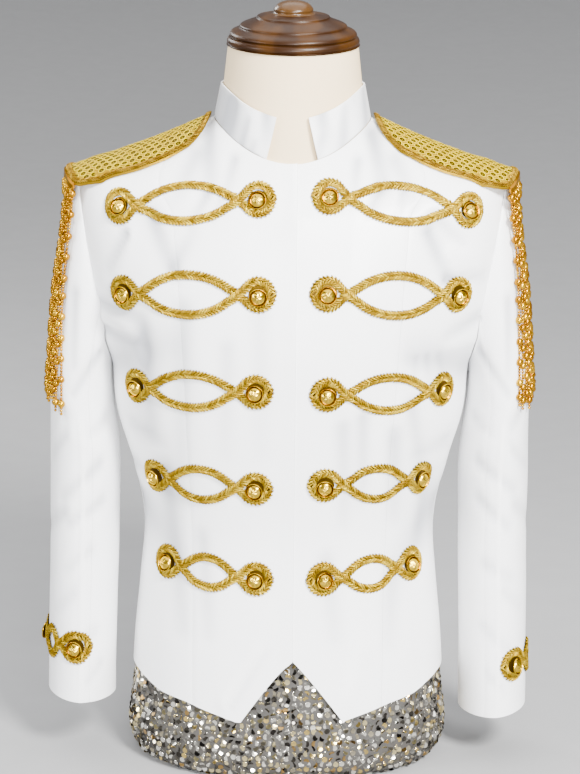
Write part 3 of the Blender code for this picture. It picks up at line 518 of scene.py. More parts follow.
def setStamps(name, stamp, points, up, along, size, material, tilt=0.0, seed=1):
    # size is one number for all, or three for each point; returns one plain mesh object
    points = np.asarray(points, float)
    size = np.broadcast_to(np.asarray(size, float), (len(points), 3))
    marks = meshOf(name + "Marks", points, [], None, {"up": up, "along": along, "size": size}, outward=False)
    live = marks.modifiers.new("stamps", "NODES")
    live.node_group = stamps
    sockets = {item.name: item.identifier for item in stamps.interface.items_tree if item.in_out == "INPUT"}
    live[sockets["Stamp"]] = stamp
    live[sockets["Tilt"]] = float(tilt)
    live[sockets["Seed"]] = int(seed)
    live[sockets["Finish"]] = finishes[material]
    bpy.context.view_layer.update()
    result = marks.evaluated_get(bpy.context.evaluated_depsgraph_get())
    mesh = bpy.data.meshes.new_from_object(result)
    mesh.name = name
    bpy.data.objects.remove(marks)
    bpy.data.objects.remove(stamp)
    return linked(name, mesh)


def joined(name, parts):
    # several objects of one piece as one mesh, keeping their materials and attributes
    with bpy.context.temp_override(active_object=parts[0], selected_editable_objects=parts):
        bpy.ops.object.join()
    parts[0].name = name
    parts[0].data.name = name
    return parts[0]


bodyCut = {
    "rings": np.array([   # hem to neck: sideX, sideY, sideZ, frontY, frontZ, backY, backZ, squareness
        (160.0, 0, 60, -119.5, 60, 116, 60, 2.30), (156.5, 0, 118, -114.5, 118, 109, 118, 2.30),
        (150.0, 0, 180, -109.0, 180, 97, 180, 2.25), (146.5, 0, 240, -106.0, 240, 89, 240, 2.20),
        (158.0, 0, 300, -113.0, 300, 97, 300, 2.20), (172.0, 0, 350, -119.5, 350, 107, 350, 2.20),
        (178.0, 0, 395, -124.0, 395, 114, 395, 2.20), (192.0, 1, 440, -125.5, 430, 118, 435, 2.15),
        (206.0, 2, 495, -123.0, 468, 120, 474, 2.10), (213.0, 4, 548, -117.0, 507, 119, 511, 2.05),
        (206.0, 6, 585.5, -108.0, 543, 114, 547, 2.00), (168.0, 6, 600.5, -100.0, 563, 103, 580, 2.00),
        (120.0, 5, 618.5, -91.5, 582, 85, 614, 2.00), (76.0, 3, 637.5, -83.0, 599, 61, 652, 2.00),
    ]),
    "armpitRow": 6, "tipRow": 10, "neckRow": 13,
    "sideSeam": 93.0, "shoulderSeam": 90.0, "armholeFront": 24.5, "armholeBack": 26.5,
    "frontColumns": 14, "seamColumn": 7, "backColumns": 12, "frontEdgeX": 5.0,
    "panelSeam": np.array([   # row of rings, angle
        (0, 32.2), (1, 33.3), (2, 35.7), (3, 37.9), (4, 35.3), (5, 32.6), (6, 32.0), (7, 30.4), (8, 29.2),
        (9, 29.6), (10, 32.9), (10.75, 44.0), (11.5, 57.0), (12.25, 70.0), (13, 82.0),
    ]),
    "hemZ": 70.0, "notchZ": 122.5, "tipZ": 60.5, "tipReach": 50.0, "tipColumn": 3,
    "hemLine": np.array([(15, 60.5), (21.5, 65.5), (36, 75), (49.5, 79), (59, 85), (70, 89), (93, 90), (180, 88)]),
    "lowerRows": np.array([(70, 1.0), (110, 0.5), (150, 0), (198, 0), (246, 0), (298, 0), (350, 0), (395, 0)]),
    "armholeRows": 8, "yokeRows": np.array([10.0, 10.75, 11.5, 12.25, 13.0]),
}

# soft troughs and ridges, shaped into the cloth and also painted into its colour as shade and highlight: face (-1
# front, 1 back), x0, z0, x1, z1, width, depth (minus stands proud)
bodyFolds = [
    (-1, 178, 400, 118, 430, 16, 2.5), (-1, -178, 400, -118, 430, 16, 2.5),
    (-1, 150, 262, 112, 215, 18, 2.5), (-1, -150, 262, -112, 215, 18, 2.5),
    (1, 170, 430, 110, 500, 20, 3.0), (1, -170, 430, -110, 500, 20, 3.0),
    (1, 140, 255, 60, 235, 16, 3.0), (1, -140, 255, -60, 235, 16, 3.0),
    # the finer ones, placed one by one from the top down
    (-1, -81, 630, -78, 580, 8, 3.2), (-1, -55, 602, -61, 575, 5, 2.3), (-1, 77, 626, 86, 578, 8, 3.2),
    (-1, 62, 602, 57, 574, 5, 2.2), (-1, -92, 606, -110, 566, 8, 1.9), (-1, 98, 602, 116, 562, 8, 1.8),
    (-1, -80, 570, -94, 544, 5, 2.4), (-1, -66, 566, -74, 548, 4, 1.4), (-1, 84, 580, 70, 556, 5, 2.4),
    (-1, 104, 574, 98, 552, 4, 1.5), (-1, -132, 551, -111, 500, 8, 3), (-1, -111, 500, -93, 535, 7, 2.2),
    (-1, -156, 531, -173, 498, 6, 3), (-1, -149, 531, -164, 492, 5, -1.6), (-1, 128, 538, 147, 493, 7, 3.1),
    (-1, 147, 493, 182, 493, 6, 2.7), (-1, 134, 552, 160, 527, 6, 2.2), (-1, 150, 520, 176, 512, 5, -1.6),
    (-1, -182, 462, -141, 454, 7, 2.7), (-1, -180, 448, -148, 442, 5, -1.5), (-1, -178, 436, -144, 424, 7, 2.6),
    (-1, 113, 418, 144, 412, 9, 1.2), (-1, 119, 420, 116, 392, 3.5, 0.9), (-1, 130, 420, 132, 396, 3.5, 1.0),
    (-1, 142, 420, 147, 398, 3.5, 0.8), (-1, 180, 452, 150, 440, 6, 2.3), (-1, 176, 430, 150, 428, 5, -1.4),
    (-1, -141, 441, -134, 336, 9, 2.6), (-1, -101, 465, -104, 279, 10, 1.8), (-1, -120, 307, -105, 145, 9, 2.2),
    (-1, -85, 240, -78, 145, 8, 1.6), (-1, -60, 430, -62, 330, 9, 1.2), (-1, 50, 355, 53, 260, 8, 1.8),
    (-1, 69, 365, 70, 279, 7, 2), (-1, 100, 345, 102, 260, 8, 2.2), (-1, 116, 374, 128, 307, 7, 2),
    (-1, 135, 298, 128, 221, 8, 2), (-1, 36, 221, 46, 145, 9, 1.6), (-1, 102, 202, 100, 135, 9, 1.6),
    (-1, -55, 76, -21, 131, 5, 0.9), (-1, -63, 78, -30, 134, 5, -2.2), (-1, 58, 84, 74, 140, 8, -1.2),
    (-1, -150, 300, -118, 280, 8, 1.8),
    (-1, -30, 470, -28, 330, 10, 1.1), (-1, 152, 330, 120, 322, 7, 1.5), (-1, -152, 345, -122, 333, 7, 1.6),
    (1, -70, 600, -60, 520, 10, 2.4), (1, 66, 604, 58, 522, 10, 2.3), (1, -28, 590, -22, 480, 9, 1.5),
    (1, 34, 585, 26, 490, 9, 1.5), (1, -160, 330, -100, 300, 9, 2.4), (1, 160, 336, 96, 304, 9, 2.4),
    (1, -150, 285, -80, 262, 8, 1.9), (1, 148, 280, 84, 258, 8, 1.9), (1, -120, 130, -90, 200, 11, 1.9),
    (1, 118, 126, 92, 196, 11, 1.9), (1, -178, 540, -130, 500, 9, 2.4), (1, 180, 536, 132, 498, 9, 2.4),
    (1, -176, 480, -138, 452, 8, 2), (1, 178, 476, 140, 450, 8, 2), (1, -60, 420, -54, 300, 11, 1.4),
    (1, 58, 415, 52, 296, 11, 1.4), (1, -40, 110, -46, 190, 9, 1.4), (1, 42, 108, 46, 186, 9, 1.4),
]


def crease(here, x0, z0, x1, z1, width):
    # how far along a crease each point is, and how much of its depth reaches there
    start, run = np.array([x0, z0]), np.array([x1 - x0, z1 - z0])
    here = here - start
    share = np.clip(here @ run / (run @ run), 0, 1)
    away = np.linalg.norm(here - share[..., None] * run, axis=-1)
    return share, np.exp(-(away / width) ** 2)


def foldDepth(points, folds=bodyFolds):
    depth = np.zeros(points.shape[:-1])
    for face, *line, deep in folds:
        share, strength = crease(points[..., (0, 2)], *line)
        depth += ease((points[..., 1] * face) / 12) * deep * strength * (1 - 0.6 * share)
    return depth


def wobble(points):
    # the slight unevenness of cloth that hangs
    x, y, z = (points[..., k] for k in range(3))
    return 0.28 * np.sin(x / 15 + 1.7 * np.sin(z / 31)) * np.sin(z / 36 + 1.3 * np.sin(x / 23 + y / 40))


def bodyPoint(side, angle, row):
    return ringPoint(splineAt(bodyCut["rings"], row), side, angle)


def bodyNormal(side, angle, row):
    around = bodyPoint(side, angle + 0.5, row) - bodyPoint(side, angle - 0.5, row)
    low, high = np.maximum(row - 0.05, 0), np.minimum(row + 0.05, bodyCut["neckRow"])
    upward = bodyPoint(side, angle, high) - bodyPoint(side, angle, low)
    return unit(np.cross(around, upward)) * np.asarray(side, float)[..., None]


heightTable = np.linspace(0, 6, 601)
heightOfRow = splineAt(bodyCut["rings"], heightTable)[:, 2]


def rowAtHeight(height):
    return np.interp(height, heightOfRow, heightTable)


def angleAt(row, x):
    ring = splineAt(bodyCut["rings"], row)
    return math.copysign(math.degrees(math.asin((abs(x) / ring[0]) ** (ring[7] / 2))), x)


def rowAngles(side, row, frontEnd, backStart):
    cut = bodyCut
    marks = (0, cut["tipColumn"], cut["seamColumn"], cut["frontColumns"])
    edge, tip = (angleAt(row, side * cut["frontEdgeX"] + reach) for reach in (0, cut["tipReach"]))
    place = np.interp(row, cut["panelSeam"][:, 0], np.arange(len(cut["panelSeam"])))
    seam = float(splineAt(cut["panelSeam"][:, 1:], place)[0])
    front = np.interp(np.arange(cut["frontColumns"] * finer + 1) / finer, marks, (edge, tip, seam, frontEnd))
    back = backStart + (180 - backStart) * np.linspace(0, 1, cut["backColumns"] * finer + 1)
    return np.concatenate([front, back])


def hemHeights(angles):
    cut = bodyCut
    last = cut["tipColumn"] * finer
    notch = cut["notchZ"] + (cut["tipZ"] - cut["notchZ"]) * np.arange(last + 1) / last
    return np.concatenate([notch, np.interp(angles[last + 1:], *cut["hemLine"].T)])


def bodyGrid(side):
    cut = bodyCut
    angleRows, placeRows = [], []
    lowest = len(cut["lowerRows"]) - 1
    for r in np.arange(lowest * finer + 1) / finer:
        height, share = (np.interp(r, np.arange(lowest + 1), cut["lowerRows"][:, k]) for k in (0, 1))
        angles = rowAngles(side, rowAtHeight(height), cut["sideSeam"], cut["sideSeam"])
        angleRows.append(angles)
        placeRows.append(rowAtHeight(height + (hemHeights(angles) - cut["hemZ"]) * share))
    middle, half = (cut["armpitRow"] + cut["tipRow"]) / 2, (cut["tipRow"] - cut["armpitRow"]) / 2
    for t in np.arange(1, cut["armholeRows"] * finer + 1) / (cut["armholeRows"] * finer):
        row = middle - half * math.cos(math.pi * t)
        seam = cut["sideSeam"] + (cut["shoulderSeam"] - cut["sideSeam"]) * t
        open_ = math.sin(math.pi * t)
        angles = rowAngles(side, row, seam - cut["armholeFront"] * open_, seam + cut["armholeBack"] * open_)
        angleRows.append(angles)
        placeRows.append(np.full(len(angles), row))
    yoke = cut["yokeRows"]
    for t in np.arange(1, (len(yoke) - 1) * finer + 1) / finer:
        row = float(np.interp(t, np.arange(len(yoke)), yoke))
        angles = rowAngles(side, row, cut["shoulderSeam"], cut["shoulderSeam"])
        angleRows.append(angles)
        placeRows.append(np.full(len(angles), row))
    angle, place = np.array(angleRows), np.array(placeRows)
    normal = bodyNormal(side, angle, place)
    smooth = bodyPoint(side, angle, place)
    fold = foldDepth(smooth)
    # painted shade in the creases and painted highlight on the ridges, weaker on the back
    paintedShading = fold * np.where(smooth[..., 1] > 0, 0.6, 1.0)
    return smooth - normal * (fold + wobble(smooth))[..., None], normal, paintedShading


def sunkAtSeams(outer, normal, edges, width=2.4, depth=0.45):
    # the cloth dips to each seam and puckers a little along it
    shaped = outer.copy()
    for edge in edges:
        line = outer[:, edge][:, None]
        away = np.linalg.norm(outer - line, axis=-1)
        height = line[..., 2]
        pucker = np.sin(height * 0.62 + np.sin(height * 0.083) * 2.4) * 0.14 * np.exp(-((away - 4) / 5) ** 2)
        shaped -= normal * (depth * np.exp(-(away / width) ** 2) + pucker)[..., None]
    return shaped


def drawnIn(grid, edges, lastRow=False, gap=cloth["seamGap"] / 2):
    grid = grid.copy()
    for edge, beside in ((0, 1), (-1, -2)):
        if edge in edges:
            grid[:, edge] += awayFrom(grid[:, edge], grid[:, beside]) * gap
    if lastRow:
        grid[-1] += awayFrom(grid[-1], grid[-2]) * gap
    return grid


def awayFrom(edge, beside):
    tangent = unit(np.gradient(edge, axis=0))
    across = beside - edge
    return unit(across - (across * tangent).sum(axis=-1, keepdims=True) * tangent)


# flat cuts in metres, measured on the panels' outer faces: widest level row, longest column, area
bodySheets = {
    "front": {"left": (0.132, 0.624, 0.055), "right": (0.141, 0.624, 0.061)},
    "sideFront": dict.fromkeys(("left", "right"), (0.148, 0.697, 0.068)),
    "back": dict.fromkeys(("left", "right"), (0.256, 0.693, 0.118)),
}


def makeBody(sideName, side, outer, normal, fold):
    split, seam = bodyCut["frontColumns"] * finer + 1, bodyCut["seamColumn"] * finer
    cuts = {"front": slice(0, seam + 1), "sideFront": slice(seam, split), "back": slice(split, None)}
    nodes = {"front": "front_", "sideFront": "side_front_", "back": "back_"}
    for piece, columns in cuts.items():
        shape, out = outer[:, columns], normal[:, columns]
        if piece == "front":
            lap = np.exp(-(np.linalg.norm(shape - shape[:, :1], axis=-1) / 9) ** 2)
            shape = shape + out * (lap * (1.3 if side < 0 else -0.6))[..., None]
        shape = sunkAtSeams(shape, out, {"front": (-1,), "sideFront": (0, -1), "back": (0, -1)}[piece])
        inner = shape - out * cloth["thickness"]
        grids = [drawnIn(grid, (0, -1), lastRow=True) for grid in (shape, inner)]
        obj = clothShell(piece + sideName.title(), *grids, fold[:, columns])
        ready(obj, "white_cloth", nodes[piece] + sideName)


bodyParts = {name: bodyGrid(side) for name, side in sides.items()}
for name, side in sides.items():
    makeBody(name, side, *bodyParts[name])
bodyTree = treeOf([parts[0] for parts in bodyParts.values()])
print("body panels made")


collarCut = {
    "base": np.array([76.0, 3, 637.9, -83.0, 599.4, 61, 652.4, 2.0]),
    "top": np.array([69.0, -9, 671.0, -81.5, 640.0, 52, 694.0, 2.0]),
    "openBase": 18.5, "openTop": 12.5, "columns": 150, "rows": 24, "flat": (0.432, 0.043, 0.016),
    # painted shade in grey stripes down the band: angle from the front edge, width, strength, how far up they reach
    "streaks": (
        (307, 12, 3.4, 1.0), (324.5, 3.5, 2.2, 0.8), (333, 3, 1.6, 0.35), (282, 14, 2.4, 1.0), (240, 6, 1.0, 1.0),
        (42, 6, 2.0, 1.0), (71, 8, 2.3, 1.0), (21, 4, 1.2, 0.5), (120, 8, 1.0, 1.0), (165, 9, 0.9, 1.0),
        (205, 7, 0.8, 1.0),
    ),
}


def makeCollar():
    cut = collarCut
    share = np.linspace(0, 1, cut["rows"] + 1)[:, None]
    ring = cut["base"] + (cut["top"] - cut["base"]) * share[..., None]
    opening = cut["openBase"] + (cut["openTop"] - cut["openBase"]) * share
    angle = opening + (360 - 2 * opening) * np.linspace(0, 1, cut["columns"] + 1)
    side = np.where(angle <= 180, 1, -1)
    outer = ringPoint(ring, side, np.where(angle <= 180, angle, 360 - angle))
    normal = unit(np.cross(np.gradient(outer, axis=1), np.gradient(outer, axis=0)))
    # soft waves down the band, more at the front corners
    front = np.exp(-((180 - np.abs(angle - 180)) / 45) ** 2)
    wave = np.sin(np.radians(angle) * 9 + share * 1.4) * 1.1 + np.sin(np.radians(angle) * 23 + 1) * 0.5
    fold = -front * wave * share
    outer = outer - normal * (fold + 0.35 * np.exp(-(share * 45 / 2.0) ** 2))[..., None]
    outer[0] += (outer[0] - outer[1]) * 0.38
    # painted shade in the waves' hollows and painted highlight on their crests, then the painted stripes of shade
    paintedShading = fold * 2.2
    for place, width, strength, reach in cut["streaks"]:
        away = (angle - place - 6 * (share - 0.5)) / width
        paintedShading = paintedShading + strength * np.exp(-away ** 2) * ease((reach + 0.15 - share) / 0.3)
    band = clothShell("collarBand", outer, outer - normal * cloth["thickness"], paintedShading)
    ready(band, "white_cloth", "collar")
    width, height, area = cut["flat"]


makeCollar()


sleeveCut = {
    "sections": np.array([   # top to cuff: z, x, y, halfX, halfY, squareness
        (362, 207.5, 2, 31.0, 57.0, 2.00), (300, 205.5, 1, 34.5, 54.0, 1.95), (240, 206.0, -3, 34.5, 51.0, 1.90),
        (180, 207.0, -9, 34.3, 49.0, 1.85), (110, 208.5, -16, 34.0, 47.5, 1.80), (40, 209.5, -22, 34.0, 46.5, 1.80),
    ]),
    "cuffZ": {"left": 48.0, "right": 60.0}, "tilt": 0.10, "capRows": 6, "rows": 8, "seams": (3, 13),
    "axis": np.array([0.98, 0.0, -0.18]),
    "top": {"left": (0.188, 0.539, 0.082), "right": (0.188, 0.527, 0.080)},
    "under": {"left": (0.143, 0.409, 0.039), "right": (0.143, 0.397, 0.038)},
}
# turn (0 at the body, 90 in front, 180 outside), z at each end, width, depth
sleeveFolds = {
    "right": [
        (84, 345, 84, 60, 3.5, -1.7), (55, 300, 120, 268, 7, 2.0), (50, 262, 110, 240, 6, 1.8),
        (60, 318, 100, 330, 6, -1.1), (120, 250, 170, 228, 8, 1.5), (70, 214, 112, 196, 7, 1.3),
        (55, 410, 95, 372, 7, 2.2), (110, 470, 98, 400, 7, 1.8), (140, 500, 128, 430, 8, 1.5),
        (60, 130, 116, 112, 7, 1.1), (48, 96, 72, 80, 5, 1.1), (250, 300, 310, 262, 8, 2.1),
        (240, 250, 320, 236, 7, 1.9), (260, 420, 300, 380, 8, 2.0), (200, 330, 196, 200, 11, 1.2),
        (150, 380, 112, 350, 7, 1.6), (112, 330, 146, 306, 6, 1.3), (36, 345, 70, 330, 6, 1.3),
        (100, 170, 136, 150, 7, 1.0),
    ],
    "left": [
        (92, 340, 92, 60, 3.5, -1.7), (52, 306, 118, 280, 7, 2.0), (56, 268, 108, 242, 7, 1.9),
        (64, 330, 104, 318, 6, -1.1), (124, 262, 172, 238, 8, 1.4), (66, 204, 116, 190, 7, 1.4),
        (52, 416, 98, 376, 7, 2.1), (112, 466, 100, 396, 7, 1.8), (142, 496, 126, 440, 8, 1.5),
        (62, 140, 112, 118, 7, 1.2), (70, 92, 104, 76, 5, 1.1), (252, 306, 312, 270, 8, 2.0),
        (242, 246, 322, 232, 7, 1.9), (258, 424, 298, 384, 8, 2.0), (198, 320, 194, 210, 11, 1.2),
        (152, 376, 110, 344, 7, 1.7), (110, 322, 148, 300, 6, 1.2), (34, 350, 72, 334, 6, 1.3),
        (104, 176, 138, 158, 7, 1.0),
    ],
}


def sleeveRing(side, name, place, columns):
    cut = sleeveCut
    z, x, y, halfX, halfY, square = splineAt(cut["sections"], place)
    top, cuff = cut["sections"][0][0], cut["sections"][-1][0]
    z = top + (z - top) * (top - cut["cuffZ"][name]) / (top - cuff)
    turn = 2 * np.pi * np.arange(columns) / columns
    out = -signedPower(np.cos(turn), 2 / square) * halfX
    forward = signedPower(np.sin(turn), 2 / square) * halfY
    drop = cut["tilt"] * out * ease((top - z) / top)
    return np.stack([side * (x + out), y - forward, z + drop], axis=-1)


def armholeRing(grid):
    first = (len(bodyCut["lowerRows"]) - 1) * finer
    last = first + bodyCut["armholeRows"] * finer
    edge = bodyCut["frontColumns"] * finer
    return np.concatenate([grid[first:last + 1, edge], grid[first:last + 1, edge + 1][-2:0:-1]])


def sleeveGrid(side, name, armhole, bodyInward):
    cut = sleeveCut
    columns = len(armhole)
    turn = 2 * np.pi * np.arange(columns) / columns
    height, forward = (1 - np.cos(turn)) / 2, np.sin(turn)
    start = armhole + cut["axis"] * (side, 1, 1) * 0.15
    end = sleeveRing(side, name, 0.0, columns)
    leave = unit(np.stack([side * (0.30 + 0.22 * height), -0.30 * forward, -1 + 0.12 * height], axis=1))
    reach = np.linalg.norm(end - start, axis=1)[:, None]
    second, third = start + leave * 0.10 * reach, end + np.array([0, 0, 1]) * reach * 0.26
    fine = finer * cut["capRows"]
    rings = []
    for t in np.arange(fine) / fine:
        s = 1 - t
        rings.append(s ** 3 * start + 3 * s ** 2 * t * second + 3 * s * t * t * third + t ** 3 * end)
    last, fineRows = len(cut["sections"]) - 1, cut["rows"] * finer
    rings += [sleeveRing(side, name, last * i / fineRows, columns) for i in range(fineRows + 1)]
    outer = np.array(rings)
    around = np.roll(outer, -1, axis=1) - np.roll(outer, 1, axis=1)
    inward = unit(np.cross(around, np.gradient(outer, axis=0))) * side
    share = np.clip(height * 2.2, 0, 1)[:, None]
    first = unit(share * bodyInward + (1 - share) * inward[0])
    for i in range(finer):
        inward[i] = unit(first * (1 - i / finer) + inward[i] * (i / finer))
    girth = 0.85     # millimetres of cloth for each degree round
    depth = np.zeros(outer.shape[:2])
    here = np.stack([np.broadcast_to(np.degrees(turn)[None] * girth, depth.shape), outer[..., 2]], axis=-1)
    for turn0, z0, turn1, z1, width, deep in sleeveFolds[name]:
        along, strength = crease(here, turn0 * girth, z0, turn1 * girth, z1, width)
        depth += deep * strength * (1 - 0.4 * along)
    fade = ease(np.arange(len(outer)) / finer)[:, None]
    outer = outer + inward * ((depth + wobble(outer)) * fade)[..., None]
    # the crease depth goes on as painted shade for the colour
    return outer, inward, depth * fade


sleeveParts = {}
for name, side in sides.items():
    bodyOuter, bodyOut, _ = bodyParts[name]
    armhole = armholeRing(bodyOuter)
    outer, inward, fold = sleeveGrid(side, name, armhole, -armholeRing(bodyOut))
    sleeveParts[name] = outer
    front, back = (k * finer for k in sleeveCut["seams"])
    columns = outer.shape[1]
    for piece, first, last in (("top", front, back), ("under", back, columns + front)):
        pick = [k % columns for k in range(first, last + 1)]
        shape = sunkAtSeams(outer[:, pick], -inward[:, pick], (0, -1), depth=0.4)
        grids = [drawnIn(grid, (0, -1)) for grid in (shape, shape + inward[:, pick] * cloth["thickness"])]
        obj = clothShell(piece + "Sleeve" + name.title(), *grids, fold[:, pick])
        ready(obj, "white_cloth", f"{piece}_sleeve_{name}")
        "side_front_" + name
print("collar and sleeves made")


def closedTube(grid):
    return np.concatenate([grid, grid[:, :1]], axis=1)


class Skin:
    # outer cloth, asked for the point a given girth round from the front
    def __init__(self, tree, side, middle):
        self.tree, self.side, self.middle, self.lines = tree, side, middle, {}

    def hit(self, height, angle):
        x, y = self.middle(height)
        out = Vector((self.side * math.sin(math.radians(angle)), -math.cos(math.radians(angle)), 0))
        point, normal = self.tree.ray_cast(Vector((x, y, height)) + out * 500, -out)[:2]
        return (point, towards(normal, out)) if point else (None, None)

    def line(self, height):
        key = round(height)
        if key not in self.lines:
            angles, girths, last = [], [], None
            for k in range(60):
                point = self.hit(key, k * 3.0)[0]
                if point is None:
                    break
                girths.append(girths[-1] + (point - last).length if girths else 0.0)
                angles.append(k * 3.0)
                last = point
            self.lines[key] = (girths, angles)
        return self.lines[key]

    def at(self, girth, height):
        girths, angles = self.line(height)
        angle = math.copysign(float(np.interp(abs(girth), girths, angles)), girth)
        point, normal = self.hit(height, angle)
        return np.array(point), np.array(normal)


def sleeveMiddle(side, name):
    rings = [sleeveRing(side, name, k / 4, 20) for k in range(4 * (len(sleeveCut["sections"]) - 1) + 1)]
    middles = np.array([ring.mean(axis=0) for ring in rings])[::-1]
    return lambda height: tuple(float(np.interp(height, middles[:, 2], middles[:, k])) for k in (0, 1))


bodySkins = {name: Skin(bodyTree, side, lambda height: (0.0, -3.0)) for name, side in sides.items()}
sleeveSkins = {
    name: Skin(treeOf([closedTube(sleeveParts[name])]), side, sleeveMiddle(side, name))
    for name, side in sides.items()
}


braid = {
    "width": 11.0, "ring": 12.6, "neckReach": 18.5,
    "pitch": 3.0, "lobe": (4.4, 0.98, 1.5), "slant": 43, "seat": 0.9, "core": 0.5, "washer": 8.9,
}
# name: side, girth and height of the inner ring, then of the outer, then the lens's bulge
frogs = {
    "R1": (-1, 31, 567, 166, 557, 15.5), "R2": (-1, 30, 482, 164, 477, 18.4), "R3": (-1, 32, 391, 158, 386, 16.2),
    "R4": (-1, 32, 295, 140, 296, 15.6), "R5": (-1, 31, 204, 127, 209, 14.6),
    "L1": (1, 35, 570, 172, 556, 15.5), "L2": (1, 34, 483, 165, 478, 18.4), "L3": (1, 35, 389, 156, 386, 16.2),
    "L4": (1, 34, 299, 137, 297, 15.6), "L5": (1, 34, 204, 129, 209, 14.6),
    "cuff_R": (-1, 2, 57, 68, 57, 13.0), "cuff_L": (1, 20, 53, 86, 53, 13.0),
}


def lobeStamp():
    # one stitch of the plait: a low-poly almond with its length along X
    points, faces, thread = [(-1, 0, -0.3)], [], [0.1]
    for x, r in ((-0.66, 0.72), (0.05, 1.0), (0.70, 0.70)):
        for k in range(6):
            turn = math.pi * k / 3 + math.pi / 6
            points.append((x, r * math.cos(turn), r * math.sin(turn)))
            # thread is 0 under the stitch and 1 on top, and the plait paints its low side dark as shade
            thread.append(0.5 + 0.5 * math.sin(turn))
    points.append((1, 0, -0.3))
    thread.append(0.1)
    for k in range(6):
        after = (k + 1) % 6
        faces.append((0, 1 + after, 1 + k))
        faces.append((19, 13 + k, 13 + after))
        for ring in (1, 7):
            faces.append((ring + k, ring + after, ring + 6 + after, ring + 6 + k))
    return meshOf("lobe", points, faces, "goldPlait", {"thread": thread}, crisp=180)


def evenly(points, pitch, extra=()):
    # resample a line at an even pitch, with any values that go with it
    points = np.asarray(points, float)
    lengths = lengthsAlong(points)
    count = max(2, round(lengths[-1] / pitch) + 1)
    wanted = np.linspace(0, lengths[-1], count)
    table = np.column_stack([points, *extra])
    return np.stack([np.interp(wanted, lengths, column) for column in table.T], axis=1)


def frogLine(length, bulge):
    # half a frog in its own plane: round a ring, over the crossing, along the lens, and out again
    first, reach, ring = -length / 2, braid["neckReach"], braid["ring"]
    half = -(first + reach + 3)
    turns = [math.radians(a) for a in range(0, 151, 12)]
    line = [(first - ring * math.cos(turn), ring * math.sin(turn), 0) for turn in turns]
    line += [(first + 14.2, 3.4, 0.6), (first + reach, 0.0, 1.0), (first + reach + 3.6, -2.8, 0.7)]
    line += [(-half * c, -bulge * (1 - c ** 2.1) ** 0.86, 0) for c in (0.86, 0.74, 0.60, 0.44, 0.26, 0.08)]
    line += [(-x, y, lift) for x, y, lift in reversed(line)]
    return splineAt(np.array(line, float), np.linspace(0, len(line) - 1, 12 * len(line)))


def plaitOn(name, points, normals, width, closed, seed, thread="goldPlait"):
    # a ribbon core with two rows of slanting stitches on it, following points on a surface; the core is painted dark as
    # shade between the stitches
    step = np.roll(points, -1, axis=0) - np.roll(points, 1, axis=0) if closed else np.gradient(points, axis=0)
    tangent = unit(step)
    side = unit(np.cross(normals, tangent))
    place, up, along = [], [], []
    slant = math.radians(braid["slant"])
    for hand in (1, -1):
        shift = 0.0 if hand == 1 else 0.5
        base = points + tangent * (shift * braid["pitch"])
        place.append(base + side * (hand * width * 0.19) + normals * braid["seat"])
        up.append(unit(normals + side * (hand * 0.25)))
        along.append(tangent * math.cos(slant) - side * (hand * math.sin(slant)))
    place, up, along = (np.concatenate(x) for x in (place, up, along))
    size = np.array(braid["lobe"]) * (width / braid["width"])
    lobes = setStamps(name, lobeStamp(), place, up, along, size, thread, 0.08, seed)
    core = ribbon(name + "Core", points, normals, side, width * 0.66, 0.15, braid["core"], closed)
    return joined(name, [lobes, core])


def ribbon(name, points, normals, side, width, low, high, closed):
    spread = ((-1, low), (1, low), (0.8, high), (-0.8, high))
    corners = [points + side * (share * width / 2) + normals * rise for share, rise in spread]
    # thread 0 paints the core dark as shade between the stitches
    return tube(name, corners, "goldPlait", closed, tone=0, thread=0, hue=0)


def makeFrog(name, side, inG, inZ, outG, outZ, bulge, skin, baseZ, seed):
    start, end = np.array([inG, inZ + baseZ], float), np.array([outG, outZ + baseZ], float)
    run = end - start
    length = float(np.linalg.norm(run))
    along, across = run / length, np.array([-run[1], run[0]]) / length
    parts = []
    for half in (1, -1):
        points, normals = [], []
        for x, y, lift in frogLine(length, bulge):
            girth, height = (start + end) / 2 + along * x + across * y * half
            point, normal = skin.at(girth, height)
            points.append(point + normal * (cloth["layGap"] + (lift * 1.1 if half == 1 else 0)))
            normals.append(normal)
        even = evenly(points, braid["pitch"], extra=(np.array(normals),))
        label, facing = f"frog{name}{half + 1}", unit(even[:, 3:])
        parts.append(plaitOn(label, even[:, :3], facing, braid["width"], False, seed + half))
    for girth, height in (start, end):
        parts.append(buttonShadowDiscOn(*skin.at(girth, height)))
    obj = joined("frog" + name.replace("_", ""), parts)
    return ready(obj, "gold_braid", "frog_" + name)


def buttonShadowDiscOn(point, normal):
    # a disc of coil under each button, painted dark as the button's shadow
    first = unit(np.cross(normal, (0.0, 0.0, 1.0)))
    second, count = np.cross(normal, first), 20
    turn = 2 * np.pi * np.arange(count)[:, None] / count
    rim = (first * np.cos(turn) + second * np.sin(turn)) * braid["washer"]
    points = [point + rim + normal * high for high in (0.7, 1.3)]
    faces = [(k, (k + 1) % count, count + (k + 1) % count, count + k) for k in range(count)]
    faces += [tuple(range(count)), tuple(range(count, 2 * count))]
    level = np.zeros(2 * count)
    values = {"tone": level, "thread": level + 0.42, "hue": level}
    return meshOf("washer", np.concatenate(points), faces, "goldPlait", values)


def frogSkin(name, side):
    sideName = "left" if side == 1 else "right"
    if name.startswith("cuff"):
        return sleeveSkins[sideName], sleeveCut["cuffZ"][sideName]
    return bodySkins[sideName], 0.0


for seed, (name, (side, *sizes)) in enumerate(frogs.items()):
    makeFrog(name, side, *sizes, *frogSkin(name, side), seed * 7 + 3)
print("frogs made")


button = {
    "radius": 8.6, "sag": 2.0, "dome": 3.4, "rim": 0.9, "petals": 6, "around": 36, "face": 5.0, "gap": 0.5,
    "profile": ((2.6, 0.0), (2.6, 3.6), (5.4, 3.9), (7.9, 4.2), (8.6, 4.7), (8.5, 5.3)),
}


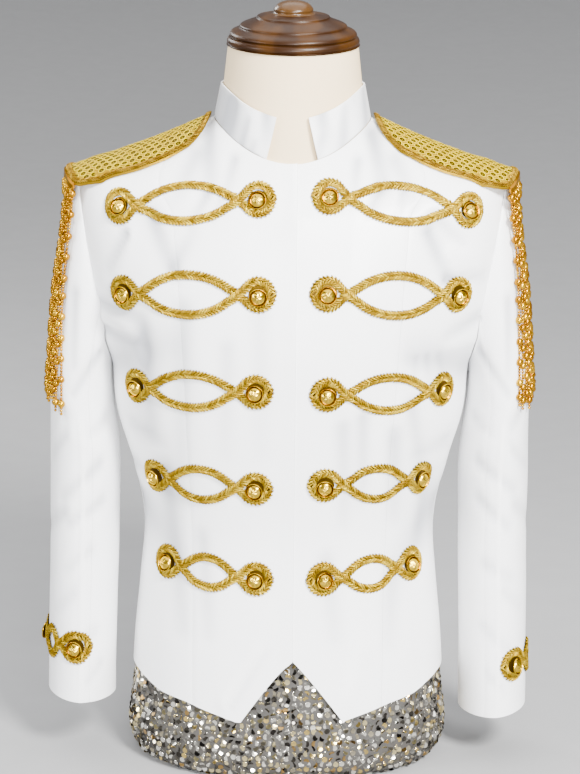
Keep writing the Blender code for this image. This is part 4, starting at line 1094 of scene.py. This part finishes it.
def buttonStamp():
    # shank and flange by the profile, then a rolled rim and a domed face with a small rosette
    turn = 2 * np.pi * np.arange(button["around"]) / button["around"]
    rings = [(r, z, 0.25) for r, z in button["profile"]]
    for share in (0.94, 0.88, 0.82, 0.76, 0.70, 0.62, 0.52, 0.42, 0.32, 0.20, 0.10):
        dome = button["face"] + button["dome"] * max(1 - (share / 0.80) ** 2, 0)
        rim = (button["rim"] + 0.10 * np.cos(turn * 18)) * math.exp(-((share - 0.94) / 0.05) ** 2)
        petal = 0.0
        if share < 0.60:
            petal = 0.32 * np.cos(turn * button["petals"]) * math.sin(math.pi * share / 0.60) ** 1.3
        eye = 0.3 * math.exp(-(share / 0.16) ** 2)
        groove = -0.55 * math.exp(-((share - 0.82) / 0.06) ** 2)
        relief = 0.62 + petal * 0.9 + eye * 0.4 + groove * 1.3 + (0.25 if share > 0.9 else 0)
        height = dome + rim + petal + eye + groove
        rings.append(np.stack(np.broadcast_arrays(button["radius"] * share, height, relief), axis=-1))
    top = button["face"] + button["dome"] + 0.5
    return lathe("buttonStamp", (0, 0.2), rings, (top, 0.9), button["around"], "domeBrass", "relief", crisp=50)


def makeButtons():
    place, up, along, nodes = [], [], [], []
    for name, (side, inG, inZ, outG, outZ, bulge) in frogs.items():
        skin, baseZ = frogSkin(name, side)
        for end, girth, height in (("in", inG, inZ), ("out", outG, outZ)):
            point, normal = skin.at(girth, height + baseZ - button["sag"])
            place.append(point + normal * button["gap"])
            up.append(normal)
            along.append(unit(np.cross(normal, (0.3, 0.1, 1.0))))
            nodes.append(f"button_{name}_{end}")
    obj = setStamps("domeButtons", buttonStamp(), place, up, along, 1, "domeBrass", 0.16, 5)
    return ready(obj, "brass", *nodes)


makeButtons()
print("buttons made")


board = {
    "outline": (
        (79, 0), (80.5, 20), (86, 38), (98, 50), (120, 56), (150, 57), (182, 54), (206, 47), (215, 28), (218.5, 13),
        (219, 0),
    ),
    "middleY": 4.0, "thick": 2.2, "lift": 2.0, "drop": 0.0076, "lastX": 200.0, "points": 168,
    "trimWidth": 7.0, "sequin": 3.72, "pitch": 7.3, "trimBraid": 7.4,
    "field": 0.62, "trimMiddle": 0.34, "trimStep": 2.1,     # the first two are shares of trimWidth
}
# sequins from the rim inwards: share of the radius, height, and how far the dark ring round the hole shows
cuppedDisc = (
    (1.0, 0.0, 0.0), (0.97, 0.22, 0.0), (0.77, 0.20, 0.0), (0.74, 0.14, 1.0), (0.50, -0.02, 1.0),
    (0.32, -0.05, 1.0), (0.28, 0.0, 0.8), (0.16, 0.05, 0.8),
)
plainDisc = ((1.0, 0.0, 0.0), (0.95, 0.2, 0.0), (0.4, 0.0, 0.0))


def boardOutline():
    half = [(x, -w) for x, w in board["outline"]] + [(x, w) for x, w in board["outline"][-2:0:-1]]
    loop = np.array(half, float)
    padded = np.concatenate([loop[-2:], loop, loop[:3]])
    dense = splineAt(padded, 2 + len(loop) * np.arange(401) / 400)
    lengths = lengthsAlong(dense)
    wanted = np.linspace(0, lengths[-1], board["points"], endpoint=False)
    return np.stack([np.interp(wanted, lengths, dense[:, k]) for k in (0, 1)], axis=1)


class Board:
    # the stiff board's surface over one shoulder
    def __init__(self, side, tree):
        self.side, self.tree = side, tree
        near, far = (self.cloth(x) for x in (board["lastX"] - 20, board["lastX"]))
        self.slope, self.end = (far - near) / 20, far

    def cloth(self, x, across=0.0):
        above = Vector((self.side * x, board["middleY"] + across, 900))
        hit = self.tree.ray_cast(above, Vector((0, 0, -1)))[0]
        return hit.z if hit else 0.0

    def point(self, x, across, rise=0.0):
        ridge = self.end + self.slope * (x - board["lastX"]) if x > board["lastX"] else self.cloth(x)
        z = max(ridge - board["drop"] * across ** 2, self.cloth(x, across)) + board["lift"] + rise
        return np.array([self.side * x, board["middleY"] + across, z])

    def frameAt(self, x, across, rise):
        here = self.point(x, across, rise)
        alongX = self.point(x + 2, across, rise) - self.point(x - 2, across, rise)
        alongY = self.point(x, across + 2, rise) - self.point(x, across - 2, rise)
        normal = unit(np.cross(alongX, alongY))
        return here, normal * np.sign(normal[2]), unit(alongX)


def inwardOf(outline, width):
    tangent = unit(np.roll(outline, -1, axis=0) - np.roll(outline, 1, axis=0))
    inward = np.stack([-tangent[:, 1], tangent[:, 0]], axis=1)
    inward *= np.sign(((outline.mean(axis=0) - outline) * inward).sum(axis=1))[:, None]
    return outline + inward * width


def inside(point, loop):
    x, y = point
    ahead = np.roll(loop, -1, axis=0)
    crosses = (loop[:, 1] > y) != (ahead[:, 1] > y)
    at = (ahead[:, 0] - loop[:, 0]) * (y - loop[:, 1]) / np.where(crosses, ahead[:, 1] - loop[:, 1], 1) + loop[:, 0]
    return bool(np.sum(crosses & (x < at)) % 2)


def sequinStamp(name, radius, around, disc, material):
    rings = [(radius * share, z, dark) for share, z, dark in disc]
    return lathe(name, (-0.15, 0.0), rings, (0.05, disc[-1][2]), around, material, "ring")


def makeEpaulette(name, side, shape, outline):
    middle, within = outline.mean(axis=0), inwardOf(outline, board["trimWidth"])
    rings = [outline] + [middle + (within - middle) * share for share in np.linspace(1.0, 0.06, 14)]
    plan = np.concatenate([*rings, [middle]])
    points = np.array([shape.point(*p, rise) for rise in (0.0, board["thick"]) for p in plan])
    count, layer, faces = len(outline), len(plan), []
    for base in (0, layer):
        inner = base + (len(rings) - 1) * count
        faces += gridFaces(len(rings), count, wrap=True, start=base)
        faces += [(inner + k, inner + (k + 1) % count, base + layer - 1) for k in range(count)]
    faces += [(k, (k + 1) % count, layer + (k + 1) % count, layer + k) for k in range(count)]
    level = np.ones(len(points))
    values = {"tone": level * 0.2, "ring": level * 0, "thread": level * 0.7}
    base = meshOf("board" + name, points, faces, "boardCloth", values)
    base.data.materials.append(finishes["goldPlait"])
    for face in base.data.polygons[-count:]:
        face.material_index = 1

    # sequins in offset rows, clear of the trim
    field = inwardOf(outline, board["trimWidth"] * board["field"])
    low, high = outline.min(axis=0), outline.max(axis=0)
    place, up, along = [], [], []
    rowStep = board["pitch"] * math.sqrt(3) / 2
    for i in range(int((high[1] - low[1]) / rowStep) + 1):
        y = low[1] + i * rowStep
        for j in range(int((high[0] - low[0]) / board["pitch"]) + 2):
            x = low[0] + (j + 0.5 * (i % 2)) * board["pitch"]
            if inside((x, y), field):
                spot, normal, direction = shape.frameAt(x, y, board["thick"])
                place.append(spot + normal * 0.15)
                up.append(normal)
                along.append(direction)
    disc = sequinStamp("shoulderSequin", board["sequin"], 12, cuppedDisc, "sequinGold")
    seed = 31 if side == 1 else 37
    discs = setStamps("discs" + name, disc, place, up, along, 1, "sequinGold", 0.07, seed)
    print("shoulder sequins:", len(place))
    return ready(joined("epaulette" + name.title(), [base, discs]), "gold_sequins", "epaulette_" + name)


def makeTrim(name, side, shape, outline):
    path = inwardOf(outline, board["trimWidth"] * board["trimMiddle"])
    path = evenly(np.concatenate([path, path[:1]]), board["trimStep"])[:-1]
    frames = [shape.frameAt(x, y, board["thick"]) for x, y in path]
    points, normals = (np.array([f[k] for f in frames]) for k in (0, 1))
    normals = unit(normals + np.roll(normals, 1, axis=0) + np.roll(normals, -1, axis=0))
    label, width = "trim" + name.title(), board["trimBraid"]
    obj = plaitOn(label, points + normals * 0.1, normals, width, True, 91 + side, "trimPlait")
    return ready(obj, "gold_braid", "epaulette_trim_" + name)


outline = boardOutline()
boards = {}
for name, side in sides.items():
    boards[name] = Board(side, treeOf([bodyParts[name][0], closedTube(sleeveParts[name])]))
    makeEpaulette(name, side, boards[name], outline)
    makeTrim(name, side, boards[name], outline)
print("epaulettes made")


fringe = {
    "strands": 21, "length": 218.0, "knots": (0.06, 0.16, 0.30, 0.55, 1.0), "standOff": 4.0, "rest": (37.0, 62.0),
    "large": 3.8, "small": 1.5, "largePitch": 20.0, "tail": 11.0, "thread": 0.5, "margin": 2.3,
}


def outerEnd(outline):
    corner = board["outline"][-4][0] - 1
    return np.array(sorted((p for p in outline if p[0] > corner), key=lambda p: p[1]))


def strandLine(shape, skin, x, across, share, seed):
    drift = np.random.default_rng(seed)
    top = shape.point(x, across, board["thick"] - 2.2)
    middleX, middleY = skin.middle(top[2])
    out, forward = shape.side * (top[0] - middleX), middleY - top[1]
    start, reach = math.degrees(math.atan2(out, forward)), math.hypot(out, forward)
    halfX, halfY = fringe["rest"]
    ahead = halfY * 0.95 * (1 - 2 * share)
    rest = math.degrees(math.atan2(halfX * math.sqrt(1 - (ahead / halfY) ** 2), ahead))
    points = [top]
    length = fringe["length"] * (1 + drift.uniform(-0.03, 0.03))
    for fall in fringe["knots"]:
        z = top[2] - length * fall
        angle = start + (rest - start) * float(ease(fall / 0.45)) + drift.uniform(-2.5, 2.5) * fall
        x, y = skin.middle(z)
        point = skin.hit(z, angle)[0]
        reach = max(reach, math.hypot(point.x - x, point.y - y) + fringe["standOff"])
        turn = math.radians(angle)
        points.append(np.array([x + shape.side * math.sin(turn) * reach, y - math.cos(turn) * reach, z]))
    return splineAt(np.array(points), np.linspace(0, len(points) - 1, 120))


def beadStamp(name, around, spans):
    turns = [math.pi * i / spans for i in range(1, spans)]
    rings = [(math.sin(turn), -math.cos(turn), 0) for turn in turns]
    return lathe(name, (-1, 0), rings, (1, 0), around, "beadGold", crisp=180)


def makeFringe(name, side):
    shape, skin = boards[name], sleeveSkins[name]
    run = outerEnd(outline)
    tangent = unit(np.gradient(run, axis=0))
    outward = np.stack([tangent[:, 1], -tangent[:, 0]], axis=1)
    middle = run + outward * 1.5
    lengths = lengthsAlong(middle)
    large, small, threads, margin = [], [], [], fringe["margin"]
    for k, distance in enumerate(np.linspace(margin, lengths[-1] - margin, fringe["strands"])):
        x, across = (float(np.interp(distance, lengths, middle[:, c])) for c in (0, 1))
        line = strandLine(shape, skin, x, across, distance / lengths[-1], 100 + k + (50 if side == 1 else 0))
        beads = evenly(line, 1.0)
        total = len(beads) - 1
        at, nextLarge = 3.0, 5.0 + (k * 7.3) % 14
        while at < total:
            spot = beads[int(at)]
            if at >= nextLarge and at < total - fringe["tail"] - 6:
                large.append(beads[min(int(at + fringe["large"] - fringe["small"]), total)])
                at += 2 * fringe["large"] + 0.2
                nextLarge += fringe["largePitch"]
            else:
                small.append(spot)
                at += 2 * fringe["small"] + 0.15
        large.append(beads[max(total - int(fringe["tail"]), 0)])
        threads.append(line[::6])
    parts = []
    for label, spots, radius, stamp in (
        ("large", large, fringe["large"], beadStamp("largeBead", 10, 7)),
        ("small", small, fringe["small"], beadStamp("smallBead", 7, 5)),
    ):
        spots = np.array(spots)
        ups = np.tile((0.0, 0.0, 1.0), (len(spots), 1))
        sideways = np.tile((1.0, 0.0, 0.0), (len(spots), 1))
        parts.append(setStamps(label + name, stamp, spots, ups, sideways, radius, "beadGold", 0.6, 60 + side))
    strip = stripOf(name, shape, run, outward)
    for line in threads:
        parts.append(threadOf(line))
    print("beads:", len(large), len(small))
    return ready(joined("fringe" + name.title(), [*parts, strip]), "gold_beads", "fringe_" + name)


def stripOf(name, shape, run, outward):
    corners = []
    for out, drop in ((0.3, 0), (0.3, 4.4), (2.6, 4.4), (2.6, 0)):
        corners.append([shape.point(*p, board["thick"] - drop) for p in run + outward * out])
    return tube("strip" + name, corners, "beadGold", tone=0.1, hue=0)


def threadOf(line):
    tangent = unit(np.gradient(line, axis=0))
    first = unit(np.cross(tangent, (0.3, 1.0, 0.1)))
    second = np.cross(tangent, first)
    turns = (0, 2.094, 4.189)
    corners = [line + (first * math.cos(a) + second * math.sin(a)) * fringe["thread"] for a in turns]
    return tube("thread", corners, "beadGold", tone=0, hue=0)


for name, side in sides.items():
    makeFringe(name, side)
print("fringes made")


form = {
    "foot": np.array([
        (147, 0, 0, -107, 0, 104, 0, 2.3), (155, 0, 4, -115, 4, 112, 4, 2.3), (160, 0, 14, -120, 14, 117, 14, 2.3),
        (162, 0, 32, -121, 32, 118, 32, 2.3), (158.5, 0, 54, -118.5, 54, 115.5, 54, 2.3),
    ]),
    "neckRoot": np.array([70.0, 0, 642, -76.0, 604, 56.5, 655, 2.0]),
    "neckRadius": 62.0, "neckShares": (0.0, 0.35, 0.70, 1.0),
    "rows": ((80, 1.6), (118, 3.0), (180, 3.5), (240, 3.5), (300, 3.5), (350, 3.5), (395, 4.0)),
    "upper": ((7, 5.0), (8, 5.5), (9, 6.0), (9.6, 5.0), (10, 2.0), (10.75, 0.6), (11.5, 0.6), (12.25, 0.6), (13, 0.6)),
    "faceGap": 3.2, "columns": 104, "armX": 196.0,
    "tilt": math.radians(9), "capCentre": (0.0, -17.3, 706.9), "capGap": 0.4,
    "sequin": 2.9, "sequinPitch": 6.3, "coverTop": 128.0,
}


def formCorner(points):
    return np.array([Matrix.Rotation(form["tilt"], 3, "X") @ Vector(p) + Vector(form["capCentre"]) for p in points])


def formRings():
    turn = 360 * np.arange(form["columns"]) / form["columns"]
    side = np.where(turn <= 180, 1, -1)
    angle = np.where(turn <= 180, turn, 360 - turn)
    rings = [ringPoint(ring, side, angle) for ring in form["foot"]]

    def within(row, gap):
        facing = np.minimum(1.0, 3 * np.abs(np.cos(np.radians(angle))))
        clearance = gap + (form["faceGap"] * facing if row >= bodyCut["tipRow"] else 0 * facing)
        place = np.full(angle.shape, row)
        normal, smooth = bodyNormal(side, angle, place), bodyPoint(side, angle, place)
        point = smooth - normal * (foldDepth(smooth, bodyFolds[:8]) + cloth["thickness"] + clearance)[:, None]
        point[:, 0] = np.clip(point[:, 0], -form["armX"], form["armX"])
        return point

    rings += [within(float(rowAtHeight(height)), gap) for height, gap in form["rows"]]
    rings += [within(row, gap) for row, gap in form["upper"]]
    root = ringPoint(form["neckRoot"], side, angle)
    radius, turned = form["neckRadius"], np.radians(angle)
    flat = np.stack([side * np.sin(turned) * radius, -np.cos(turned) * radius, 0 * angle - form["capGap"]], 1)
    top = formCorner(flat)
    rings += [root + (top - root) * share for share in form["neckShares"]]
    return np.array(rings)


def makeForm():
    rings = formRings()
    fine = smoothed(rings.reshape(len(rings), -1)).reshape(-1, form["columns"], 3)
    rows, columns = fine.shape[:2]
    faces = gridFaces(rows, columns, wrap=True)
    faces += [tuple(range(columns)), tuple(range((rows - 1) * columns, rows * columns))]
    obj = meshOf("formBody", fine.reshape(-1, 3), faces, "formNeckCloth", crisp=50)
    obj.data.materials.append(finishes["coverNet"])
    for face in obj.data.polygons:
        face.material_index = 1 if face.center.z < 0.40 else 0
    ready(obj, "form_cloth", "form_torso")
    return fine


def makeCover(fine):
    # sequins sewn over the form's cover, in wavering rows from its foot to under the hem
    low = [ring for ring in fine if ring[:, 2].mean() < form["coverTop"] + 20]
    tree = treeOf([closedTube(np.array(low))])
    chance = np.random.default_rng(8)
    place, up, along = [], [], []
    rowStep = form["sequinPitch"] * 0.86
    z, row = 3.0, 0
    while z < form["coverTop"]:
        degrees = 0.4 * (row % 2)
        while degrees < 360:
            turn = math.radians(degrees)
            out = Vector((math.sin(turn), -math.cos(turn), 0))
            height = z + chance.uniform(-1.0, 1.0)
            point, normal = tree.ray_cast(Vector((0, -3, height)) + out * 400, -out)[:2]
            if point is not None:
                normal = towards(normal, out)
                place.append(np.array(point) + np.array(normal) * 0.35)
                up.append(np.array(normal))
                along.append(np.array((-out.y, out.x, 0)))
                reach = (point - Vector((0, -3, height))).length
            step = form["sequinPitch"] * chance.uniform(0.85, 1.15) / max(reach, 50)
            degrees += math.degrees(step)
        z += rowStep
        row += 1
    disc = sequinStamp("coverSequin", form["sequin"], 9, plainDisc, "coverSequin")
    obj = setStamps("coverSequins", disc, place, up, along, 1, "coverSequin", 0.6, 17)
    print("cover sequins:", len(place))
    return ready(obj, "form_cloth")


cap = {
    "profile": (
        (0.0, 0.0), (58.0, 0.0), (61.8, 1.0), (63.0, 4.0), (61.6, 7.0), (59.4, 8.0), (60.4, 9.8), (58.6, 12.6),
        (51.5, 16.0), (49.6, 19.0), (36.0, 24.4), (33.4, 27.0), (22.0, 28.6), (18.6, 30.4), (18.6, 33.6), (14.2, 38.2),
        (7.2, 40.6), (0.0, 41.1),
    ),
    "around": 96, "knobFrom": 29.0,
}


def makeCap():
    # each span of the profile bulges a little between its points
    fine = smoothed(cap["profile"])
    fine[:, 0] = np.maximum(fine[:, 0], 0)
    rings, foot, top = [(r, z, 0) for r, z in fine[1:-1]], (fine[0, 1], 0), (fine[-1, 1], 0)
    obj = lathe("neckCap", foot, rings, top, cap["around"], "turnedWood", crisp=35, place=formCorner)
    obj.data.materials.append(finishes["knobWood"])
    top = Vector(form["capCentre"]) * mm
    for face in obj.data.polygons:
        local = Matrix.Rotation(-form["tilt"], 3, "X") @ (face.center - top)
        face.material_index = 1 if local.z > cap["knobFrom"] * mm else 0
    return ready(obj, "dark_wood", "form_cap")


fineForm = makeForm()
makeCover(fineForm)
makeCap()
print("dress form made")


studio = {
    "distance": 1.75, "lookDown": 12.0, "aim": (0, 0, 0.370), "lens": 1750 * 36 / 774, "roll": 0.55,
    "lights": (   # name, place, size, watts, colour
        ("key", (1.0, -1.8, 1.9), 0.7, 260, (1.0, 0.995, 0.98)),
        ("side", (-2.1, -1.0, 1.1), 0.8, 46, (0.96, 0.98, 1.0)),
        ("low", (0.3, -2.3, 0.7), 0.7, 95, (1.0, 1.0, 1.0)),
        ("rim", (-1.4, 1.4, 1.6), 0.8, 32, (1.0, 1.0, 1.0)),
        ("sky", (0.0, 0.4, 5.5), 8.0, 520, (1.0, 1.0, 1.0)),
    ),
    "world": (0.80, 0.82, 0.85), "worldStrength": 0.42,
}


def makeStudio():
    down = math.radians(studio["lookDown"])
    aim = Vector(studio["aim"])
    back = Vector((0, -math.cos(down), math.sin(down)))
    lens = bpy.data.cameras.new("camera")
    lens.lens, lens.sensor_width = studio["lens"], 36
    camera = linked("camera", lens)
    camera.location = aim + back * studio["distance"]
    facing = (-back).to_track_quat("-Z", "Y") @ Euler((0, 0, math.radians(studio["roll"]))).to_quaternion()
    camera.rotation_euler = facing.to_euler()
    bpy.context.scene.camera = camera

    for name, place, size, watts, colour in studio["lights"]:
        data = bpy.data.lights.new(name, "AREA")
        data.shape, data.size, data.energy, data.color = "DISK", size, watts, colour
        lamp = linked(name, data)
        lamp.location = place
        lamp.rotation_euler = (aim - Vector(place)).to_track_quat("-Z", "Y").to_euler()

    world = bpy.data.worlds.new("studio")
    world.use_nodes = True
    ground = world.node_tree.nodes["Background"]
    ground.inputs["Color"].default_value = (*studio["world"], 1)
    ground.inputs["Strength"].default_value = studio["worldStrength"]
    bpy.context.scene.world = world

    # a pale floor, flat under the form and rising gently far out on every side
    around, points, faces = 72, [(0, 0, -0.4)], []
    radii = [300, 700, 1200, *np.linspace(1700, 9000, 16)]
    for r in radii:
        rise = 1100 * (max(r - 1200, 0) / 5000) ** 1.7 - 0.4
        turns = np.linspace(0, 2 * math.pi, around, endpoint=False)
        points += [(r * math.cos(a), r * math.sin(a), rise) for a in turns]
    for k in range(around):
        after = (k + 1) % around
        faces.append((0, 1 + k, 1 + after))
        for i in range(len(radii) - 1):
            a, b = 1 + i * around + k, 1 + i * around + after
            faces.append((a, a + around, b + around, b))
    finishes["paleFloor"] = finish("paleFloor", lambda s: {
        "Base_Color": s.mix(s.noise(s.coords(), 0.05, 3), (0.25, 0.25, 0.253), (0.275, 0.275, 0.278)),
        "Roughness": s.noise(s.coords(), 0.02) * 0.1 + 0.8,
    })
    floor = meshOf("floor", points, faces, "paleFloor", outward=False)


makeStudio()
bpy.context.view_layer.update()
sizes = {o.name: len(o.data.loops) - 2 * len(o.data.polygons) for o in bpy.data.objects if o.type == "MESH"}
print("triangles:", sum(sizes.values()), "largest:", max(sizes, key=sizes.get), max(sizes.values()))
